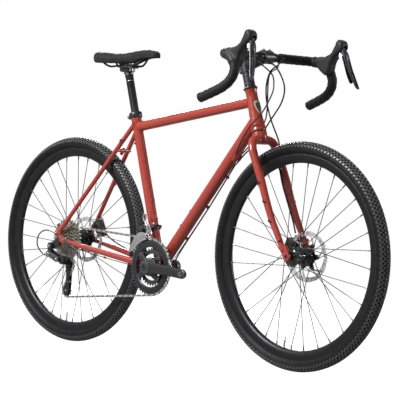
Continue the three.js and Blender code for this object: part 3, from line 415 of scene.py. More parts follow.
class Shape:
    """Gathers the faces of one piece, in millimetres."""

    def __init__(self):
        self.verts = []
        self.faces = []

    def add(self, verts, faces):
        start = len(self.verts)
        self.verts.extend(verts)
        self.faces.extend(tuple(start + i for i in face) for face in faces)
        return self

    def rings(self, rings, closed_along=False):
        """Joins rings of points into a tube, and caps its ends unless it closes on itself."""
        sides = len(rings[0])
        verts = [p for ring in rings for p in ring]
        faces = []
        last = len(rings) if closed_along else len(rings) - 1
        for i in range(last):
            a, b = i * sides, ((i + 1) % len(rings)) * sides
            for k in range(sides):
                m = (k + 1) % sides
                faces.append((a + k, a + m, b + m, b + k))
        if not closed_along:
            faces.append(tuple(reversed(range(sides))))
            faces.append(tuple((len(rings) - 1) * sides + k for k in range(sides)))
        return self.add(verts, faces)

    def sweep(self, points, radius, sides=20, up=None, power=2.0, chamfer=0.0, closed=False):
        """A tube along points. radius is a number, or one value or (up, side) pair for each point."""
        radii = list(radius) if isinstance(radius, (list, tuple)) else [radius] * len(points)
        radii = [r if isinstance(r, tuple) else (r, r) for r in radii]
        points = list(points)
        if chamfer and not closed:
            head = points[0] + (points[1] - points[0]).normalized() * chamfer
            tail = points[-1] + (points[-2] - points[-1]).normalized() * chamfer
            points = [points[0], head, *points[1:-1], tail, points[-1]]
            first, final = radii[0], radii[-1]
            inset = lambda pair: tuple(r - chamfer for r in pair)
            radii = [inset(first), first, *radii[1:-1], final, inset(final)]
        count = len(points)
        rings = []
        normal = None
        for i, point in enumerate(points):
            before = points[i - 1] if i or closed else points[0]
            after = points[(i + 1) % count] if i < count - 1 or closed else points[-1]
            tangent = (after - before).normalized()
            if up is not None:
                normal = up - tangent * up.dot(tangent)
            elif normal is None:
                helper = UP if abs(tangent.z) < 0.9 else V(1, 0, 0)
                normal = helper - tangent * helper.dot(tangent)
            else:
                normal = normal - tangent * normal.dot(tangent)
            normal.normalize()
            side = tangent.cross(normal)
            ring = []
            for k in range(sides):
                angle = TAU * k / sides
                c, s = math.cos(angle), math.sin(angle)
                c = math.copysign(abs(c) ** (2 / power), c)
                s = math.copysign(abs(s) ** (2 / power), s)
                ring.append(point + normal * (radii[i][0] * c) + side * (radii[i][1] * s))
            rings.append(ring)
        return self.rings(rings, closed_along=closed)

    def rod(self, a, b, radius, end_radius=None, sides=24, chamfer=0.4):
        end_radius = radius if end_radius is None else end_radius
        return self.sweep([a, b], [radius, end_radius], sides, chamfer=chamfer)

    def revolve(self, centre, axis, profile, segments=48, closed=False):
        """Turns profile points (radius, distance along axis) about the axis. An open profile is capped."""
        axis = axis.normalized()
        helper = UP if abs(axis.z) < 0.9 else V(1, 0, 0)
        u = (helper - axis * helper.dot(axis)).normalized()
        w = axis.cross(u)
        rings = []
        for radius, along in profile:
            rings.append([centre + axis * along + (u * math.cos(TAU * k / segments)
                          + w * math.sin(TAU * k / segments)) * radius for k in range(segments)])
        return self.rings(rings, closed_along=closed)

    def block(self, centre, size, pitch=0.0, bevel=1.0):
        """A box with chamfered edges, turned by pitch degrees about the Y axis."""
        x, y, z = (s / 2 for s in size)
        b = min(bevel, x * 0.45, y * 0.45, z * 0.45)
        turn = Matrix.Rotation(math.radians(pitch), 3, "Y")
        rings = []
        for height, inset in ((-z, b), (-z + b, 0), (z - b, 0), (z, b)):
            px, py = x - inset, y - inset
            corners = [(px - b, -py), (px, -py + b), (px, py - b), (px - b, py),
                       (-px + b, py), (-px, py - b), (-px, -py + b), (-px + b, -py)]
            rings.append([centre + turn @ V(cx, cy, height) for cx, cy in corners])
        return self.rings(rings)

    def flat(self, loops, y_low, y_high, bevel=0.4):
        """A plate in a fore-and-aft plane, from an outline and its holes, with rounded edges."""
        curve = bpy.data.curves.new("flat", "CURVE")
        curve.dimensions = "2D"
        curve.fill_mode = "BOTH"
        curve.extrude = (y_high - y_low) / 2 - bevel
        curve.bevel_depth = bevel
        curve.bevel_resolution = 1
        curve.offset = -bevel
        for loop in loops:
            spline = curve.splines.new("POLY")
            spline.points.add(len(loop) - 1)
            for point, (x, z) in zip(spline.points, loop):
                point.co = (x, z, 0, 1)
            spline.use_cyclic_u = True
        holder = new_object("flat", curve)
        mesh = mesh_as_shown(holder)
        middle = (y_low + y_high) / 2
        verts = [V(v.co.x, middle - v.co.z, v.co.y) for v in mesh.vertices]
        self.add(verts, [tuple(p.vertices) for p in mesh.polygons])
        bpy.data.objects.remove(holder)
        bpy.data.meshes.remove(mesh)
        bpy.data.curves.remove(curve)
        return self

    def bolt(self, place, outward, radius=4.0, height=3.0):
        """A cap screw: a rounded head with a hexagonal socket."""
        mouth, floor = radius * 0.56, radius * 0.5
        self.revolve(place, outward, [(radius, -0.5), (radius, height - 0.7), (radius - 0.7, height),
                                      (mouth, height)], 20)
        self.revolve(place, outward, [(mouth, height + 0.02), (floor, height - 0.1)], 6)
        self.revolve(place, outward, [(floor, height + 0.05), (0.05, height + 0.03)], 6)
        return self

    def mesh(self, name):
        mesh = bpy.data.meshes.new(name)
        mesh.from_pydata([tuple(v * MM) for v in self.verts], [], self.faces)
        mesh.validate()
        tidy_mesh(mesh)
        return mesh

    def build(self, name, body, material, replaces=(), slot=None, smooth=35, location=None):
        """Makes the object of this piece. The slot argument is not used."""
        mesh = self.mesh(name)
        mesh.materials.append(material)
        obj = new_object(name, mesh)
        if location is not None:
            obj.location = location * MM
        shade(mesh, smooth)
        return attach(obj, body, replaces)


def tidy_mesh(mesh):
    """Merges doubled vertices and turns every face outwards."""
    work = bmesh.new()
    work.from_mesh(mesh)
    bmesh.ops.remove_doubles(work, verts=work.verts, dist=1e-6)
    bmesh.ops.recalc_face_normals(work, faces=work.faces)
    work.to_mesh(mesh)
    work.free()


def shade(mesh, angle):
    mesh.polygons.foreach_set("use_smooth", [True] * len(mesh.polygons))
    if angle < 180:
        mesh.set_sharp_from_angle(angle=math.radians(angle))


def apply_modifiers(obj, smooth):
    mesh = mesh_as_shown(obj)
    mesh.name = obj.name
    obj.modifiers.clear()
    obj.data = mesh
    shade(mesh, smooth)


def attach(obj, body, replaces):
    if body:
        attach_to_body(obj, body)
    if replaces:
        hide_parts(*replaces)
    return obj


def weld(shape, a_far, a_near, a_radius, b_point, b_dir, b_radius, bead=1.7):
    """A weld bead where tube a runs into tube b: the curve where a's surface meets b's."""
    direction = (a_near - a_far).normalized()
    helper = ACROSS if abs(direction.y) < 0.9 else UP
    u = (helper - direction * helper.dot(direction)).normalized()
    w = direction.cross(u)
    b_dir = b_dir.normalized()
    loop = []
    for k in range(56):
        angle = TAU * k / 56
        start = a_far + (u * math.cos(angle) + w * math.sin(angle)) * a_radius
        offset = start - b_point
        flat_dir = direction - b_dir * direction.dot(b_dir)
        flat_offset = offset - b_dir * offset.dot(b_dir)
        qa, qb = flat_dir.dot(flat_dir), 2 * flat_dir.dot(flat_offset)
        qc = flat_offset.dot(flat_offset) - (b_radius + 0.2) ** 2
        inside = max(0.0, qb * qb - 4 * qa * qc)
        travel = (-qb - math.sqrt(inside)) / (2 * qa)
        loop.append(start + direction * travel)
    ripple = [bead * (1 + 0.12 * math.cos(TAU * k / 2)) for k in range(56)]
    shape.sweep(loop, ripple, 10, closed=True)


# ---- frame ----
DOWN_TUBE_BOSSES = (168, 232)
SEAT_TUBE_BOSSES = (161, 225)
CABLE_GUIDES = (150, 290, 420)


def stay_paths(side):
    chainstay = smooth_path(to_side([
        (BB.x - 4, 19, BB.z), (-150, 26.5, BB.z + 9), (-187, 34.5, BB.z + 14), (-300, 51, BB.z + 33),
        (-440, 68, BB.z + 56), (-505, 75, BB.z + 67.5)], side), 34)
    seatstay = even_path([on_seat_tube(490, -4, 12 * side), V(-518, 75 * side, 384)], 20)
    return chainstay, seatstay


def build_frame():
    tubes = Shape()
    tubes.revolve(HEAD_LOW, STEER_UP, [(18.0, 0.2), (24.0, 0.2), (24.4, 1), (24.4, 4), (23.6, 6),
                                       (23.0, 16), (21.0, 44), (19.2, 78), (18.4, 110),
                                       (18.3, HEAD_LENGTH - 6), (19.2, HEAD_LENGTH - 4.5),
                                       (19.2, HEAD_LENGTH - 0.6), (18.6, HEAD_LENGTH)], 56)
    tubes.rod(TOP_REAR, TOP_FRONT, TOP_TUBE_R, sides=48, chamfer=0)
    tubes.rod(BB, DOWN_TOP, DOWN_TUBE_R, sides=56, chamfer=0)
    tubes.revolve(BB, SEAT_UP, [(SEAT_TUBE_R, 0), (SEAT_TUBE_R, 300), (SEAT_TUBE_R, SEAT_TUBE - 40),
                                (SEAT_TUBE_R + 0.9, SEAT_TUBE - 34), (SEAT_TUBE_R + 0.9, SEAT_TUBE - 0.5),
                                (SEAT_TUBE_R, SEAT_TUBE), (14.2, SEAT_TUBE), (14.2, SEAT_TUBE - 30)], 48)
    tubes.revolve(BB, ACROSS, [(17, -BB_HALF), (BB_R - 0.8, -BB_HALF), (BB_R, -BB_HALF + 0.8),
                               (BB_R, BB_HALF - 0.8), (BB_R - 0.8, BB_HALF), (17, BB_HALF)], 48)
    weld(tubes, TOP_REAR, TOP_FRONT, TOP_TUBE_R, HEAD_LOW, STEER_UP, 19.0)
    weld(tubes, TOP_FRONT, TOP_REAR, TOP_TUBE_R, BB, SEAT_UP, SEAT_TUBE_R + 0.5)
    weld(tubes, BB, DOWN_TOP, DOWN_TUBE_R, HEAD_LOW, STEER_UP, 21.6)
    weld(tubes, DOWN_TOP, BB, DOWN_TUBE_R, BB, ACROSS, BB_R)
    weld(tubes, on_seat_tube(300), BB, SEAT_TUBE_R, BB, ACROSS, BB_R)
    tubes.build("main_frame_tubes", "frame", PAINT, ["frame"])
    build_rear_triangle()
    build_frame_fittings()
    build_head_badge()


def build_rear_triangle():
    rear = Shape()
    for side in (-1, 1):
        chainstay, seatstay = stay_paths(side)
        last = len(chainstay) - 1
        rear.sweep(chainstay, [(13.2 - 6.0 * (i / last) ** 0.9, 8.4 - 1.6 * i / last)
                               for i in range(last + 1)], 28, up=UP)
        thin = len(seatstay) - 1
        rear.sweep(seatstay, [7.8 - 0.9 * (i / thin) ** 1.5 for i in range(thin + 1)], 28)
        weld(rear, seatstay[-1], seatstay[0], 7.5, BB, SEAT_UP, SEAT_TUBE_R + 0.3, 1.4)
        y_in, y_out = sorted((71.4 * side, 79.0 * side))
        rear.flat(dropout_loops(side), y_in, y_out, 1.1)
    rear.rod(V(-289, -29, 668), V(-289, 29, 668), 6.5, sides=28)
    rear.rod(V(-146, -24, BB.z + 8), V(-146, 24, BB.z + 8), 6, sides=24)
    rear.build("rear_triangle", "frame", PAINT)


def dropout_loops(side):
    """The plate where the stays meet: a hook over the axle on the drive side, an eye on the other."""
    neck = [(-5, 30), (-1, 40), (8, 44), (14, 36), (12, 20), (18, 11), (34, 4), (40, -4), (34, -13),
            (18, -11)]
    neck = [(REAR.x + x, REAR.z + z) for x, z in neck]
    if side < 0:
        return [[(REAR.x - 9, REAR.z + 3), (REAR.x - 9, REAR.z + 14), *neck, (REAR.x + 8, REAR.z - 6),
                 (REAR.x - 2, REAR.z - 2)]]
    return [[*arc(REAR.x, REAR.z, 14, -40, -215, 14), *neck], circle(REAR.x, REAR.z, 6.2, 24)]


def build_frame_fittings():
    small = Shape()
    for side in (-1, 1):
        small.rod(V(-270, 33.5 * side, 690), V(-263, 38 * side, 703), 4.6, sides=20)
        small.rod(V(REAR.x + 4, 77 * side, REAR.z + 46), V(REAR.x + 2, 82 * side, REAR.z + 50), 4.6, sides=16)
    for distance in DOWN_TUBE_BOSSES:
        small.rod(on_down_tube(distance, DOWN_TUBE_R - 2), on_down_tube(distance, DOWN_TUBE_R + 2.2), 6.2)
    for distance in SEAT_TUBE_BOSSES:
        small.rod(on_seat_tube(distance, SEAT_TUBE_R - 2), on_seat_tube(distance, SEAT_TUBE_R + 2.2), 6.2)
    for y in (-11.7, 11.7):
        small.rod(on_down_tube(508, -15.5, y), on_down_tube(486, -18.5, y), 4.4, 3.2, 18)
    for distance in CABLE_GUIDES:
        small.block(under_down_tube(distance, 0.4, 6), (8, 9, 4), 50, 1)
    small.rod(V(-292, 0, 665), V(-301, 0, 655), 5.8, sides=20)
    small.build("frame_bosses", "frame", PAINT)

    screws = Shape()
    for distance in DOWN_TUBE_BOSSES:
        screws.bolt(on_down_tube(distance, DOWN_TUBE_R + 2.2), DOWN_UP, 4.6, 3.0)
    for distance in SEAT_TUBE_BOSSES:
        screws.bolt(on_seat_tube(distance, SEAT_TUBE_R + 2.2), SEAT_FWD, 4.6, 3.0)
    for side in (-1, 1):
        screws.bolt(V(-264, 37.5 * side, 701), V(4, 4 * side, 10), 4.4, 3.2)
        screws.bolt(V(REAR.x + 2.4, 81.4 * side, REAR.z + 49.4), V(-2, 5 * side, 4), 4.2, 2.6)
    screws.bolt(V(-300, 0, 656), V(-10, 0, -12), 4.6, 2.6)
    screws.bolt(V(-289, 0, 674), V(0.2, 0, 1), 4.4, 3)
    screws.build("frame_screws", "frame", BLACK)


def badge_ring(inset, lift):
    """One closed line round the shield, on the curved front of the head tube."""
    shield = [V(-13, 0, 19), V(0, 0, 21.5), V(13, 0, 19), V(13, 0, 0), V(8.5, 0, -14), V(0, 0, -23),
              V(-8.5, 0, -14), V(-13, 0, 0)]
    ring = []
    for place in smooth_loop([(corner.x, corner.z) for corner in shield], 48):
        across, along = place[0] * inset, place[1] * inset
        bend = math.asin(across / 20.5)
        radius = 20.4 - along * 0.035 + lift
        ring.append(on_steerer(74 + along, radius * math.cos(bend), radius * math.sin(bend)))
    return ring


def build_head_badge():
    """A plain shield on the head tube, with no lettering: a pale rim round a dark green field."""
    badge = Shape()
    badge.rings([badge_ring(*step) for step in ((1.0, -0.5), (1.0, 0.6), (0.95, 1.0), (0.74, 1.0),
                                                (0.72, 0.5), (0.05, 0.5))])
    badge.build("blank_head_badge", "frame", BADGE, smooth=40)
    field = Shape()
    field.rings([badge_ring(*step) for step in ((0.70, 0.4), (0.70, 0.8), (0.66, 0.9), (0.05, 0.95))])
    field.build("head_badge_field", "frame", BADGE_FIELD, smooth=40)


def build_seat_clamp():
    clamp = Shape()
    low, high = COLLAR_LOW, COLLAR_HIGH
    clamp.revolve(BB, SEAT_UP, [(SEAT_TUBE_R + 1, low), (21.0, low), (21.6, low + 1), (21.6, high - 1),
                                (21.0, high), (14.4, high + 1.4), (14.4, high + 0.2),
                                (SEAT_TUBE_R + 1, high)], 48, closed=True)
    clamp.block(on_seat_tube(522.5, -24, 0), (11, 20, 15), 16.2, 2)
    clamp.build("seat_collar", "frame", BLACK, ["seat_clamp"])
    bolt = Shape()
    bolt.bolt(on_seat_tube(522.5, -25, -10), TO_DRIVE_SIDE, 4.4, 3.4)
    bolt.bolt(on_seat_tube(522.5, -25, 10), V(0, 1, 0), 4.0, 2)
    bolt.build("seat_collar_bolt", "frame", STEEL)


def build_headset():
    top = Shape()
    h = HEAD_LENGTH
    top.revolve(HEAD_LOW, STEER_UP, [(15, h + 0.2), (22.4, h + 0.2), (23.2, h + 1), (23.2, h + 4),
                                     (22, h + 5.2), (19.8, h + 6.2), (19.2, h + 9), (18, h + 11.2),
                                     (15, h + 11.2)], 48, closed=True)
    top.build("headset_upper", "frame", GLOSS_BLACK, ["headset_upper_cup"])
    low = Shape()
    low.revolve(HEAD_LOW, STEER_UP, [(15, -0.4), (23.4, -0.4), (23.8, -0.9), (23.8, -3.8), (23.4, -4.4),
                                     (15, -4.4)], 48, closed=True)
    low.build("headset_lower", "frame", BLACK, ["headset_lower_cup"])


def build_bottom_bracket():
    cups = Shape()
    for side in (-1, 1):
        notches = [22.4 - (1.6 if k % 4 == 0 else 0) for k in range(64)]
        rings = []
        for distance, inset in ((34.4, 0), (41, 0), (42, 1), (42.2, 4), (42.2, 9)):
            rings.append([BB + around(max(13, r - inset), TAU * k / 64, side * distance)
                          for k, r in enumerate(notches)])
        cups.rings(rings)
    cups.build("bottom_bracket_cups", "frame", BLACK, ["bottom_bracket"])


# ---- chain path ----
RING_TEETH, SMALL_TEETH, PULLEY_TEETH = 46, 30, 11
COGS = (11, 13, 15, 17, 19, 21, 24, 27, 31, 35)
CHAIN_COG = 6
TOOTHED = [(centre, pitch_radius(teeth), turn) for centre, teeth, turn in (
    (BB, RING_TEETH, 1), (REAR, COGS[CHAIN_COG], 1), (GUIDE, PULLEY_TEETH, -1), (TENSION, PULLEY_TEETH, 1))]


def run_heading(first, second):
    """The heading of the straight chain run from one toothed wheel to the next."""
    (a, ra, turn_a), (b, rb, turn_b) = first, second
    dx, dz = b.x - a.x, b.z - a.z
    return math.atan2(dz, dx) + math.asin((turn_a * ra - turn_b * rb) / math.hypot(dx, dz))


HEADINGS = [run_heading(wheel, TOOTHED[(i + 1) % 4]) for i, wheel in enumerate(TOOTHED)]


def chain_rollers():
    """Roller centres round the loop, one pitch apart, and the angle of one roller on each wheel."""
    dense = []
    for i, (centre, radius, turn) in enumerate(TOOTHED):
        arriving = HEADINGS[i - 1]
        sweep_angle = ((HEADINGS[i] - arriving) * turn) % TAU
        for k in range(61):
            heading = arriving + turn * sweep_angle * k / 60
            dense.append(V(centre.x + turn * radius * math.sin(heading), CHAIN_Y,
                           centre.z - turn * radius * math.cos(heading)))
    dense.append(dense[0].copy())
    length = sum((b - a).length for a, b in zip(dense, dense[1:]))
    count = 2 * round(length / LINK_PITCH / 2)
    rollers = even_path(dense, count + 1)[:-1]
    phases = []
    for centre, radius, _ in TOOTHED:
        touching = [p for p in rollers if abs(math.hypot(p.x - centre.x, p.z - centre.z) - radius) < 0.25]
        middle = touching[len(touching) // 2]
        phases.append(math.atan2(middle.z - centre.z, middle.x - centre.x))
    return rollers, phases


ROLLERS, PHASES = chain_rollers()


def build_chain():
    """The toothed wheels turn inside a chain that stays still, so no roller lies between its plates there."""
    bright, dim, rollers = Shape(), Shape(), Shape()
    bend = np.linspace(math.pi * 0.22, math.pi * 1.78, 9)
    outline = [(math.cos(a) * 4.1 - LINK_PITCH / 2, math.sin(a) * 4.1) for a in bend]
    outline += [(-x, -z) for x, z in outline]
    for i, start in enumerate(ROLLERS):
        end = ROLLERS[(i + 1) % len(ROLLERS)]
        middle = (start + end) / 2
        along = (end - start).normalized()
        across = V(-along.z, 0, along.x)
        plates, near, far = (dim, 1.15, 1.95) if i % 2 else (bright, 2.0, 2.85)
        for sign in (-1, 1):
            plates.rings([[middle + along * x + across * z + ACROSS * (sign * depth) for x, z in outline]
                          for depth in (near, far)])
        if any(math.hypot(start.x - hub.x, start.z - hub.z) < radius + 8.5 for hub, radius, _ in TOOTHED):
            for side in (-1, 1):
                rollers.revolve(start, ACROSS * side, [(1.8, 1.3), (1.8, 3.1)], 8)
        else:
            rollers.revolve(start, ACROSS, [(3.85, -1.1), (3.85, 1.1)], 12)
            rollers.revolve(start, ACROSS, [(1.8, -3.1), (1.8, 3.1)], 8)
    bright.build("outer_link_plates", "frame", CHAIN_STEEL, ["chain"])
    dim.build("inner_link_plates", "frame", DARK_STEEL)
    rollers.build("chain_rollers", "frame", DARK_STEEL)


def build_cassette():
    cogs = Shape()
    spacing = 3.7
    for i, teeth in enumerate(COGS):
        y = CHAIN_Y + (i - CHAIN_COG) * spacing
        phase = PHASES[1] if i == CHAIN_COG else 0.4 * i
        inner = max(17.5, pitch_radius(teeth) - 15)
        loops = [tooth_outline(teeth, phase), circle(0, 0, inner, 36)]
        if teeth > 20:
            middle = (inner + pitch_radius(teeth)) / 2 - 2.5
            for k in range(teeth // 2):
                angle = TAU * k / (teeth // 2)
                loops.append(circle(*spot(middle, angle), 2.1, 10))
        cogs.flat(loops, y - 0.8, y + 0.8, 0.15)
    cogs.build("cassette_cogs", "cassette", COG_STEEL, ["cassette"], location=V(REAR.x, 0, REAR.z))
    core = Shape()
    outer, inner = CHAIN_Y - CHAIN_COG * spacing, CHAIN_Y + (len(COGS) - 1 - CHAIN_COG) * spacing
    core.revolve(ORIGIN, ACROSS, [(9, outer - 1.2), (15.5, outer - 1.2), (17.4, outer - 0.6),
                                  (17.4, outer + 1.5), (17.6, outer + 2), (17.6, CHAIN_Y - 8),
                                  (24, CHAIN_Y - 6), (33, CHAIN_Y), (40, inner - 3.5), (44, inner - 1),
                                  (18, inner + 1), (9, inner + 1)], 48, closed=True)
    for k in range(5):
        angle = TAU * k / 5
        core.rod(around(20, angle, inner - 3), around(58, angle, inner - 0.4), 3.2, 2.2, 12)
    core.build("cassette_carrier", "cassette", GREY_ALLOY, location=V(REAR.x, 0, REAR.z))


def build_pulleys():
    for name, place, phase in (("guide", GUIDE, PHASES[2]), ("tension", TENSION, PHASES[3])):
        wheel = Shape()
        loops = [tooth_outline(PULLEY_TEETH, phase), circle(0, 0, 3.4, 20)]
        for k in range(5):
            angle = TAU * k / 5
            loops.append(circle(*spot(11.5, angle), 2.4, 12))
        wheel.flat(loops, -1.0, 1.0, 0.2)
        wheel.revolve(ORIGIN, ACROSS, [(3.4, -3.8), (7.4, -3.8), (8, -3.2), (8, 3.2), (7.4, 3.8),
                                       (3.4, 3.8)], 28, closed=True)
        wheel.build(f"{name}_pulley_wheel", f"{name}_pulley", PLASTIC, [f"{name}_pulley"],
                    location=place)


# ---- cranks ----
SPIDER_ANGLES = (38, 142, 218, 322)


def pedal_hole():
    """From the bottom bracket to the right arm's pedal hole, a little below level."""
    drop = math.radians(CRANK_DROP)
    return V(CRANK_REACH * math.cos(drop), 0, -CRANK_REACH * math.sin(drop))


def crank_arm(shape, side):
    end = pedal_hole() * (-side)
    count = 30
    places, radii = [], []
    for i in range(count):
        t = -0.09 + 1.195 * i / (count - 1)
        inside = min(1, max(0, t))
        offset = 66.0 + 2.8 * inside ** 0.8
        places.append(end * t + ACROSS * (side * offset) + V(0, 0, 1.6 * math.sin(math.pi * inside)))
        edge = min(1.0, (i + 0.35) / 2.6, (count - 1 - i + 0.35) / 2.6)
        width = 15.6 + 6.5 * (1 - inside) ** 3
        thick = 8.8 - 1.6 * inside
        round_end = math.sqrt(max(0.05, 1 - (1 - edge) ** 2))
        radii.append((width * round_end, thick * (0.6 + 0.4 * round_end)))
    shape.sweep(places, radii, 36, up=V(0.05, 0, 1), power=3.4)
    shape.revolve(V(0, side * 57, 0), ACROSS * side, [(18, 0), (22.5, 1), (22.5, 13), (21, 17), (15, 19.0),
                                                      (11, 19.2), (10.4, 17.8), (0.5, 17.6)], 44)
    return end


def build_cranks():
    right = Shape()
    end = crank_arm(right, -1)
    heading = math.atan2(end.z, end.x)
    right.revolve(V(0, -49.8, 0), TO_DRIVE_SIDE, [(20, -2), (29, -2), (30.5, 0), (29, 7), (22, 12)], 48)
    for degrees in SPIDER_ANGLES:
        angle = heading + math.radians(degrees)
        path = even_path([around(18, angle, -57), around(61, angle, -51.8)], 8)
        right.sweep(path, [(5.2 - 0.3 * i, 14.5 - 0.9 * i) for i in range(8)], 20, up=ACROSS, power=3.2)
    web = [(16, 70), (44, 46), (50, 30), (54, 18), (70, 8), (88, 4), (86, -3), (60, -4), (30, -10), (14, -20)]
    web = [spot(r, heading + math.radians(degrees)) for r, degrees in web]
    right.flat([smooth_loop(web, 60)], -72.5, -61.0, 3.0)
    right.build("right_crank_arm", "crank", CRANK_GREY, ["right_crank"], location=BB)
    left = Shape()
    crank_arm(left, 1)
    left.block(V(9, 64, 19.5), (9, 9, 6), 0, 1)
    left.build("left_crank_arm", "crank", CRANK_GREY, ["left_crank"], location=BB)
    build_crank_hardware(heading)
    build_rings(heading)


def build_crank_hardware(heading):
    silver, dark = Shape(), Shape()
    for side in (-1, 1):
        tip = pedal_hole() * (-side)
        silver.revolve(tip + ACROSS * (side * 62.5), ACROSS * side, [(5, 0), (6.8, 12.6), (6.8, 13.6),
                                                                     (5.4, 13.8), (4.6, 12.5), (4.4, 3)],
                       28)
        dark.revolve(V(0, side * 70, 0), ACROSS * side, [(8.6, 0), (8.6, 5.6), (7.8, 6.2), (5.4, 6.2),
                                                         (5.2, 4.5), (0.4, 4.4)], 28)
    silver.revolve(V(0, -60, 0), ACROSS, [(11.9, 0), (11.9, 120)], 32)
    silver.build("pedal_thread_inserts_and_spindle", "crank", SILVER, location=BB)
    for y in (60, 70):
        dark.bolt(V(5, y - 3, 20.5), V(0.6, 0, 1), 2.6, 2.6)
    for degrees in SPIDER_ANGLES:
        angle = heading + math.radians(degrees)
        dark.revolve(around(RING_BOLT_R, angle, -53.5), TO_DRIVE_SIDE,
                     [(5.2, -2), (5.2, 0.8), (4.6, 1.4), (2.8, 1.4), (2.5, 0.3), (0.3, 0.2)], 20)
    dark.build("crank_bolts", "crank", GLOSS_BLACK, location=BB)


def build_rings(heading):
    """The outer ring is an open hoop on four tabs, so the inner ring's teeth show through it."""
    at = V(BB.x, 0, BB.z)
    big, tabs, stems = Shape(), Shape(), Shape()
    big.flat([tooth_outline(RING_TEETH, PHASES[0]), circle(0, 0, 71, 72)], CHAIN_Y - 0.95, CHAIN_Y + 0.95,
             0.2)
    big.build("outer_ring_teeth", "crank", GREY_ALLOY, ["outer_chainring"], "silver_steel", location=at)
    tabs.revolve(ORIGIN, ACROSS, [(66, CHAIN_Y + 1), (66, CHAIN_Y - 2.6), (68, CHAIN_Y - 4),
                                  (82, CHAIN_Y - 3.4), (86.5, CHAIN_Y - 2), (87, CHAIN_Y - 0.8),
                                  (87, CHAIN_Y + 1)], 90, closed=True)
    for degrees in SPIDER_ANGLES:
        angle = heading + math.radians(degrees)
        tip = around(RING_BOLT_R, angle)
        tabs.flat([stadium((tip.x * 0.95, tip.z * 0.95), (tip.x * 1.32, tip.z * 1.32), 8.5, 13)],
                  CHAIN_Y - 2.6, CHAIN_Y + 1, 0.6)
        stems.rod(V(tip.x * 0.82, -38, tip.z * 0.82), V(tip.x * 0.82, -50, tip.z * 0.82), 4, sides=14)
    tabs.build("outer_ring_body", "crank", BLACK, location=at)
    stems.build("ring_standoffs", "crank", CRANK_GREY, location=at)
    small = Shape()
    small.flat([tooth_outline(SMALL_TEETH, 0.1), circle(0, 0, 44, 48)], -39, -37, 0.3)
    small.build("inner_ring", "crank", GREY_ALLOY, ["inner_chainring"], location=at)


# ---- derailleurs ----
HANGER = V(-556, 0, 331)
KNUCKLE = V(GUIDE.x - 5, 0, GUIDE.z + 15)
LINK_HIGH = (HANGER.x - 2, HANGER.z - 27)
LINK_LOW = (KNUCKLE.x - 14, KNUCKLE.z + 4)


def build_hanger():
    hanger = Shape()
    hanger.flat([[(REAR.x + 6, REAR.z - 24), (REAR.x + 2, REAR.z + 2), (REAR.x - 12, REAR.z + 1),
                  (HANGER.x - 2, HANGER.z + 13), (HANGER.x - 11, HANGER.z + 4), (HANGER.x - 10, HANGER.z - 7),
                  (HANGER.x + 2, HANGER.z - 11), (REAR.x - 10, REAR.z - 33)]], -77, -71, 0.8)
    hanger.revolve(V(REAR.x, -70.8, REAR.z), TO_DRIVE_SIDE, [(5, 0), (12.6, 0), (13.2, 0.8), (13.2, 5.6),
                                                             (12.4, 6.6), (5, 6.6)], 32)
    hanger.build("dropout_hanger", "frame", BLACK, ["derailleur_hanger"])


def build_knuckles():
    body = Shape()
    body.revolve(V(HANGER.x, -77.2, HANGER.z), TO_DRIVE_SIDE, [(11, 0), (12, 0.8), (12, 9), (10.5, 11.5),
                                                               (7, 12.6)], 36)
    body.flat([stadium((HANGER.x, HANGER.z), (HANGER.x - 1, HANGER.z - 27), 11, 9)], -88, -79, 1.6)
    body.revolve(V(KNUCKLE.x, -51.8, KNUCKLE.z), TO_DRIVE_SIDE, [(11, 0), (14, 1.5), (15, 10), (14.5, 22),
                                                                 (12.5, 27), (7, 28.5)], 40)
    body.flat([stadium((KNUCKLE.x, KNUCKLE.z), (KNUCKLE.x - 17, KNUCKLE.z + 5), 14, 9)], -82, -66, 2.4)
    body.flat([stadium((KNUCKLE.x, KNUCKLE.z), (KNUCKLE.x + 15, KNUCKLE.z + 3), 10, 6)], -74, -60, 2)
    body.build("derailleur_knuckles", "frame", PLASTIC, ["rear_derailleur_knuckle"], "black_anodised")


def build_links():
    """The outer link with its bright edge, and the inner link with the cable arm."""
    links = Shape()
    low, high = LINK_LOW, LINK_HIGH
    links.flat([stadium(high, low, 10.5, 10.5)], -92.5, -88.6, 0.9)
    links.build("derailleur_outer_link", "frame", LINK_BLUE, ["rear_derailleur_link"])
    trim = Shape()
    trim.flat([stadium(high, low, 7, 7), stadium(high, low, 5.8, 5.8)], -93.0, -92.2, 0.2)
    trim.build("derailleur_link_edge", "frame", STEEL)
    inner = Shape()
    inner.flat([stadium((high[0] + 4, high[1] + 10), (low[0] + 6, low[1] + 8), 6, 6)], -79, -75.5, 0.9)
    inner.flat([stadium((high[0], high[1] - 2), (high[0] - 14, high[1] - 8), 6, 4.2)], -88, -82, 1.2)
    inner.build("derailleur_inner_link", "frame", BLACK)


def build_cage():
    cage = Shape()
    guide, tension = (GUIDE.x, GUIDE.z), (TENSION.x, TENSION.z)
    middle = ((guide[0] + tension[0]) / 2 + 3, (guide[1] + tension[1]) / 2)
    outline = (arc(*tension, 14.5, 150, 375, 14) + [(middle[0] + 8, middle[1] - 14),
                                                    (middle[0] + 9, middle[1] + 14)]
               + arc(*guide, 12.5, -15, 190, 14) + [(middle[0] - 9, middle[1] + 14),
                                                    (middle[0] - 8, middle[1] - 16)])
    for y_low, y_high in ((CHAIN_Y - 6.6, CHAIN_Y - 4.6), (CHAIN_Y + 4.6, CHAIN_Y + 6.6)):
        cage.flat([outline, circle(middle[0], middle[1] - 14, 2.2, 14)], y_low, y_high, 0.6)
    cage.build("derailleur_cage", "frame", BLACK, ["rear_derailleur_cage"])


